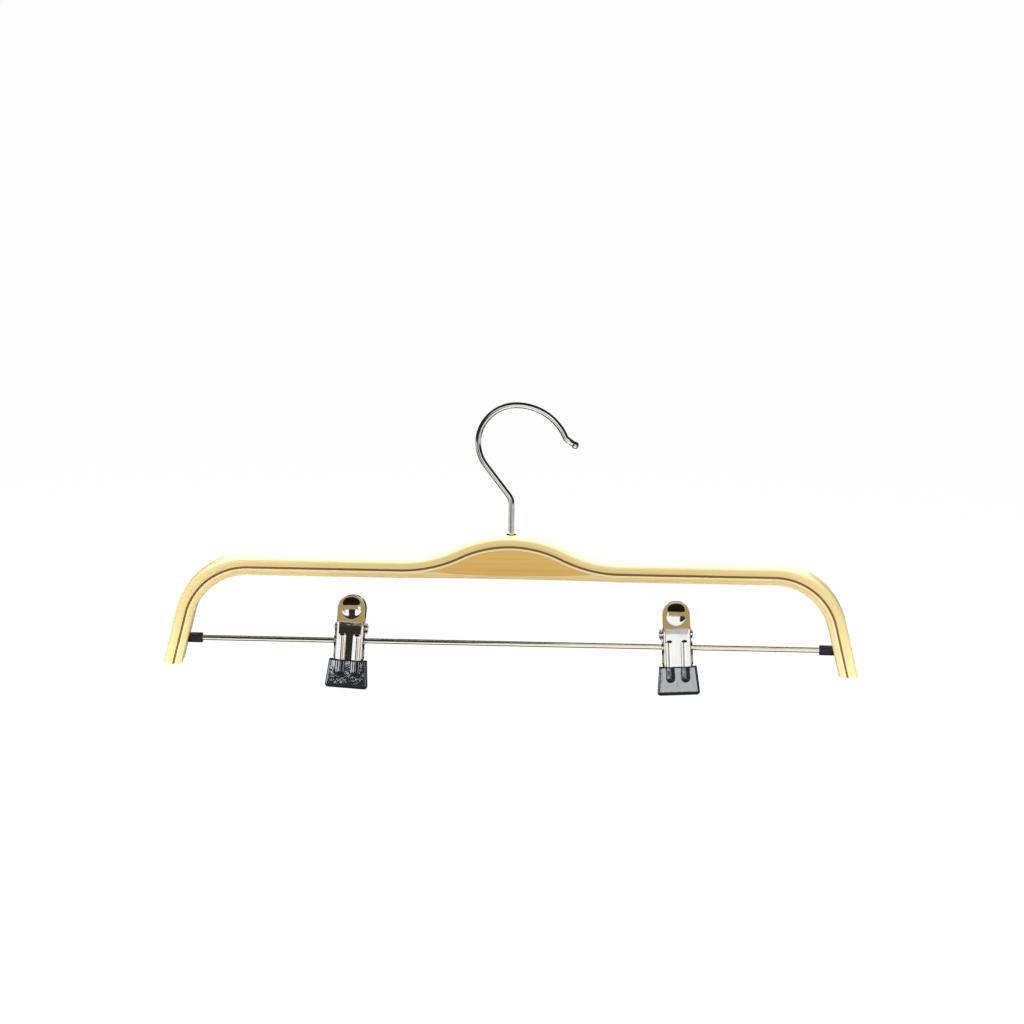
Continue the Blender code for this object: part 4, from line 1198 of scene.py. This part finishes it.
def spring_mesh(name, clips):
    """A torsion spring on the pin: down the rear leg, round the pin, and up the front leg."""
    sweep = 2 * pi * SPRING_TURNS - pi - 2 * SPRING_LEG_LEAN
    steps = round(sweep / (2 * pi) * COIL_STEPS)
    half_length = SPRING_PITCH * sweep / (4 * pi)
    coil = []
    for step in range(steps + 1):
        part = step / steps
        angle = -SPRING_LEG_LEAN - sweep * part
        y = SPRING_RADIUS * cos(angle)
        z = PIN_HEIGHT + SPRING_RADIUS * sin(angle)
        coil.append(Vector((half_length * (2 * part - 1), y, z)))
    leg = (SPRING_LEG_TOP - coil[0].z) / cos(SPRING_LEG_LEAN)
    out = Vector((0, sin(SPRING_LEG_LEAN), cos(SPRING_LEG_LEAN))) * leg
    points = [coil[0] + out, *coil, coil[-1] + Vector((0, -out.y, out.z))]
    return tube(name, points, [1] * len(points), clips.spring_wire, 4)


class HANGER_OT_clips(bpy.types.Operator):
    """Presses the jaws, dips their tips, and sets pins and springs between them"""

    bl_idname = "hanger.clips"
    bl_label = "Make Clips"

    def execute(self, context):
        clips = context.scene.hanger_clips
        wire = context.scene.hanger_wire
        plating = chrome("pressed chrome plate", wire.chrome, wire.chrome_roughness, 0.09)
        dipped = dip_coat("black dip coat", clips.dip, clips.dip_roughness)
        coil = drawn_steel("drawn spring wire", clips.spring)
        pieces = []
        for half, rear in (("front", False), ("rear", True)):
            pressing = jaw_mesh(f"{half}_pressing", rear, clips)
            dip = boot_mesh(f"{half}_dip", rear, clips)
            pieces.append((f"{half}_pressing", pressing, plating, f"clip_{half}_jaw", "pressed_chrome"))
            pieces.append((f"{half}_dip", dip, dipped, f"clip_{half}_boot", "black_dip"))
        pieces.append(("rivet", pin_mesh("rivet", clips), plating, "clip_hinge_pin", "pressed_chrome"))
        pieces.append(("coil", spring_mesh("coil", clips), coil, "clip_spring", "spring_wire"))
        for side, x, lean in CLIPS:
            clip, jaw = f"{side}_clip", f"{side}_front_jaw"
            hang = Matrix.Rotation(lean, 4, "Y") @ Matrix.Rotation(CLIP_SWING, 4, "X")
            place = Matrix.Translation((x, 0, BAR_Z)) @ hang
            for name, mesh, finish, node, slot in pieces:
                copy = mesh.copy()
                if name == "rivet" and side == "right":
                    copy.transform(Matrix.Rotation(pi, 4, "Z"))
                copy.transform(place)
                body = None if name == "coil" else jaw if name.startswith("front") else clip
                lit_with = "hanger_tips" if slot == "black_dip" else "hanger_plates"
                piece = finished(f"{side}_{name}", copy, finish, body, f"{side}_{node}", slot, lit_with)
                if name == "coil":
                    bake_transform(piece)
        return {"FINISHED"}


def lamp(name, place, way, size, watts, tone, height=0):
    """A round lamp that shines along way, or an upright rectangle where a height is given."""
    light = bpy.data.lights.new(name, "AREA")
    light.shape = "RECTANGLE" if height else "DISK"
    light.size = size
    light.size_y = height or size
    light.energy = watts
    light.color = tone
    obj = bpy.data.objects.new(name, light)
    bpy.context.scene.collection.objects.link(obj)
    obj.location = place
    obj.rotation_euler = Vector(way).to_track_quat("-Z", "Y").to_euler()
    return obj


def make_sky(scene, stage):
    """Even light all round, and, for glossy rays, the studio that the chrome and the lacquer mirror."""
    world = bpy.data.worlds.new("studio")
    scene.world = world
    world.use_nodes = True
    tree = world.node_tree
    tree.nodes.clear()
    start = Shade(tree)
    way = start.node("ShaderNodeTexCoord", output=0)
    split = start.node("ShaderNodeSeparateXYZ", {}, {0: way})
    depth = Shade(tree, split.socket.node.outputs[1])
    height = Shade(tree, split.socket.node.outputs[2])
    black = (0.02, 0.02, 0.018)
    ground = height.ease(-0.50, -0.40).mix((0.012, 0.009, 0.007), (0.56, 0.56, 0.53))
    room = height.ease(-0.10, -0.07).mix(ground, (PAPER_WHITE, PAPER_WHITE, PAPER_WHITE))
    side = (split.ease(0.40, 0.60) + 1 - split.ease(-0.60, -0.40)) * height.ease(-0.22, -0.16)
    room = start.math("MAXIMUM", height.ease(0.44, 0.52), side).mix(room, black)
    back = (height.ease(-0.40, -0.34) * (1 - height.ease(-0.16, -0.1))).mix(black, (0.42, 0.42, 0.40))
    room = (1 - depth.ease(-0.05, 0.05)).mix(back, room)
    path = start.node("ShaderNodeLightPath", output=0)
    glossy = Shade(tree, path.socket.node.outputs[3])
    through = Shade(tree, path.socket.node.outputs[6])
    even = start.node("ShaderNodeBackground", {}, {0: (0.98, 0.99, 1.0, 1), 1: stage.sky})
    mirrored = start.node("ShaderNodeBackground", {}, {0: room, 1: 1.0})
    paper = start.node("ShaderNodeBackground", {}, {0: (1, 1, 1, 1), 1: 1.0})
    both = start.node("ShaderNodeMixShader", {}, {0: glossy, 1: even, 2: mirrored})
    seen = start.math("MAXIMUM", path, through)
    both = start.node("ShaderNodeMixShader", {}, {0: seen, 1: both, 2: paper})
    start.node("ShaderNodeOutputWorld", {}, {0: both})


def sheet_object(name, corners):
    """One flat quad, linked to the scene."""
    mesh = bpy.data.meshes.new(name)
    mesh.from_pydata(corners, [], [(0, 1, 2, 3)])
    obj = bpy.data.objects.new(name, mesh)
    bpy.context.scene.collection.objects.link(obj)
    return obj, mesh


def card(name, left, right, bottom, top, distance, tone):
    """A card in front of the hanger, which mirroring surfaces see. It glows for the pressed plates alone."""
    corners = [(x, -distance, z) for x, z in ((left, bottom), (right, bottom), (right, top), (left, top))]
    obj, mesh = sheet_object(name, corners)
    obj.visible_camera = False
    obj.visible_diffuse = False
    obj.visible_shadow = False
    obj.visible_transmission = False
    made, shader, _ = new_material(name)
    values = {
        "Base Color": (0, 0, 0, 1),
        "Specular IOR Level": 0.0,
        "Emission Color": (*tone, 1),
        "Emission Strength": 1.0,
    }
    mesh.materials.append(feed(made, shader, values))
    obj.light_linking.receiver_collection = hanger_collection("hanger_plates")


def make_floor():
    """A pale floor that the camera sees as white paper, with the hanger's own light on it."""
    corners = []
    for x, y in ((-1, -1), (1, -1), (1, 1), (-1, 1)):
        corners.append((x * FLOOR_REACH, y * FLOOR_REACH, BOW_END_Z - FLOOR_DROP))
    floor, mesh = sheet_object("floor", corners)
    floor.visible_glossy = False
    made, shader, start = new_material("pale floor")
    feed(made, shader, {"Base Color": (0.45, 0.45, 0.45, 1), "Roughness": 0.9, "Specular IOR Level": 0.1})
    path = start.node("ShaderNodeLightPath", output=0)
    lit = Shade(made.node_tree, shader.outputs[0])
    paper = start.node("ShaderNodeEmission", {}, {0: (1, 1, 1, 1), 1: PAPER_WHITE})
    both = start.node("ShaderNodeMixShader", {}, {0: path * 0.92, 1: lit, 2: paper})
    made.node_tree.links.new(both.socket, made.node_tree.nodes["Material Output"].inputs[0])
    mesh.materials.append(made)


def hang_lamps(stage):
    """Lamps that light the hanger, and then lamps that only some of its pieces mirror."""
    for name, place, size, watts in (
        ("overhead", (-0.15, 0.05, 0.9), 1.0, stage.overhead),
        ("fill", (-0.4, -1.6, 0.05), 1.0, stage.fill),
        ("low left", (-0.235, -0.07, -0.215), 0.06, stage.low),
        ("low right", (0.235, -0.07, -0.215), 0.06, stage.low),
    ):
        way = Vector(HANGER_MIDDLE) - Vector(place)
        lamp(name, place, way, size, watts, (1.0, 0.99, 0.96)).visible_glossy = False
    white, cream, cool = (1, 1, 1), (1, 1, 0.98), (0.92, 0.97, 1)
    green, warm = (0.97, 1, 0.97), (1, 0.9, 0.75)
    rearward = (0, 1, 0)
    for name, place, way, size, high, watts, tone, mirror in (
        ("top shine", (0, 0.2, 0.5), (0, 0, -1), 1.6, 0, stage.shine, white, "hanger_wood"),
        ("back shine", (0, 1.2, 0.3), (0, -1.2, -0.35), 1.1, 0, stage.back_shine, white, "hanger_wood"),
        ("strip", (-0.43, -0.3, -0.135), rearward, 0.38, 0.13, stage.strip, cool, "hanger_tips"),
        ("spot", (0.0975, -0.3, -0.135), rearward, 0.075, 0.13, stage.spot, cool, "hanger_tips"),
        ("wide pane", (-0.116, -0.3, -0.124), rearward, 0.0095, 0.026, stage.wide_pane, cool, "hanger_tips"),
        ("slim pane", (-0.1035, -0.3, -0.124), rearward, 0.004, 0.026, stage.slim_pane, cool, "hanger_tips"),
        ("side left", (-0.6, -0.3, -0.1), (0.5, 0.3, -0.03), 0.8, 0.5, stage.side, cream, "hanger_plates"),
        ("side right", (0.6, -0.3, -0.1), (-0.5, 0.3, -0.03), 0.8, 0.5, stage.side, cream, "hanger_plates"),
        ("rear", (0, 0.5, -0.35), (0, -1, 0), 1.2, 1.3, stage.rear, cream, "hanger_plates"),
        ("under", (0, -0.3, -0.585), rearward, 0.6, 0.83, stage.under, green, "hanger_wires"),
        ("over", (0.17, -0.17, 0.07), (0, 0.17, BAR_Z - 0.07), 0.3, 0.3, stage.over, warm, "hanger_rod"),
    ):
        shine = lamp(name, place, way, size, watts, tone, high)
        shine.visible_diffuse = False
        shine.light_linking.receiver_collection = hanger_collection(mirror)


def set_camera(scene, stage):
    """The camera that stands where the photograph was taken from."""
    camera = bpy.data.cameras.new("camera")
    camera.lens = stage.lens
    camera.sensor_width = 36
    camera.shift_x = 0.0007
    camera.shift_y = 0.0223
    camera.clip_end = 200
    obj = bpy.data.objects.new("camera", camera)
    scene.collection.objects.link(obj)
    level = cos(stage.elevation)
    way = Vector((sin(stage.azimuth) * level, -cos(stage.azimuth) * level, sin(stage.elevation)))
    aim = (-way).to_track_quat("-Z", "Y").to_matrix().to_4x4() @ Matrix.Rotation(stage.roll, 4, "Z")
    obj.matrix_world = Matrix.Translation(Vector(HANGER_MIDDLE) + way * stage.distance) @ aim
    scene.camera = obj


class HANGER_OT_stage(bpy.types.Operator):
    """Sets the floor, the sky, the lamps and the camera"""

    bl_idname = "hanger.stage"
    bl_label = "Make Stage"

    def execute(self, context):
        stage = context.scene.hanger_stage
        make_sky(context.scene, stage)
        context.scene.view_settings.view_transform = "Standard"
        make_floor()
        hang_lamps(stage)
        card("gold card", -0.36, 0.36, -0.30, -0.18, 0.35, (0.46, 0.33, 0.12))
        card("dark card", -0.235, -0.03, -0.17, 0.06, 0.34, (0.035, 0.028, 0.022))
        set_camera(context.scene, stage)
        return {"FINISHED"}


class HANGER_PT_panel(bpy.types.Panel):
    """Lists the hanger's sizes, colours and makers"""

    bl_label = "Wooden Clip Hanger"
    bl_idname = "HANGER_PT_panel"
    bl_space_type = "VIEW_3D"
    bl_region_type = "UI"
    bl_category = "Hanger"

    def draw(self, context):
        for group, operator in GROUPS:
            box = self.layout.box()
            settings = getattr(context.scene, group)
            for name in settings.bl_rna.properties.keys():
                if name not in ("name", "rna_type"):
                    box.prop(settings, name)
            box.operator(operator)


GROUPS = (
    ("hanger_bow", "hanger.bow"),
    ("hanger_wire", "hanger.hook"),
    ("hanger_wire", "hanger.rod"),
    ("hanger_clips", "hanger.clips"),
    ("hanger_stage", "hanger.stage"),
)
SETTINGS = (
    ("hanger_bow", HangerBow),
    ("hanger_wire", HangerWire),
    ("hanger_clips", HangerClips),
    ("hanger_stage", HangerStage),
)
OPERATORS = (HANGER_OT_bow, HANGER_OT_hook, HANGER_OT_rod, HANGER_OT_clips, HANGER_OT_stage)


def register():
    for name, group in SETTINGS:
        bpy.utils.register_class(group)
        setattr(bpy.types.Scene, name, PointerProperty(type=group))
    for operator in (*OPERATORS, HANGER_PT_panel):
        bpy.utils.register_class(operator)


def unregister():
    for operator in (HANGER_PT_panel, *reversed(OPERATORS)):
        bpy.utils.unregister_class(operator)
    for name, group in reversed(SETTINGS):
        delattr(bpy.types.Scene, name)
        bpy.utils.unregister_class(group)


def main():
    register()
    bpy.ops.hanger.stage()
    bpy.ops.hanger.bow()
    bpy.ops.hanger.hook()
    bpy.ops.hanger.rod()
    bpy.ops.hanger.clips()


if __name__ == "__main__":
    main()
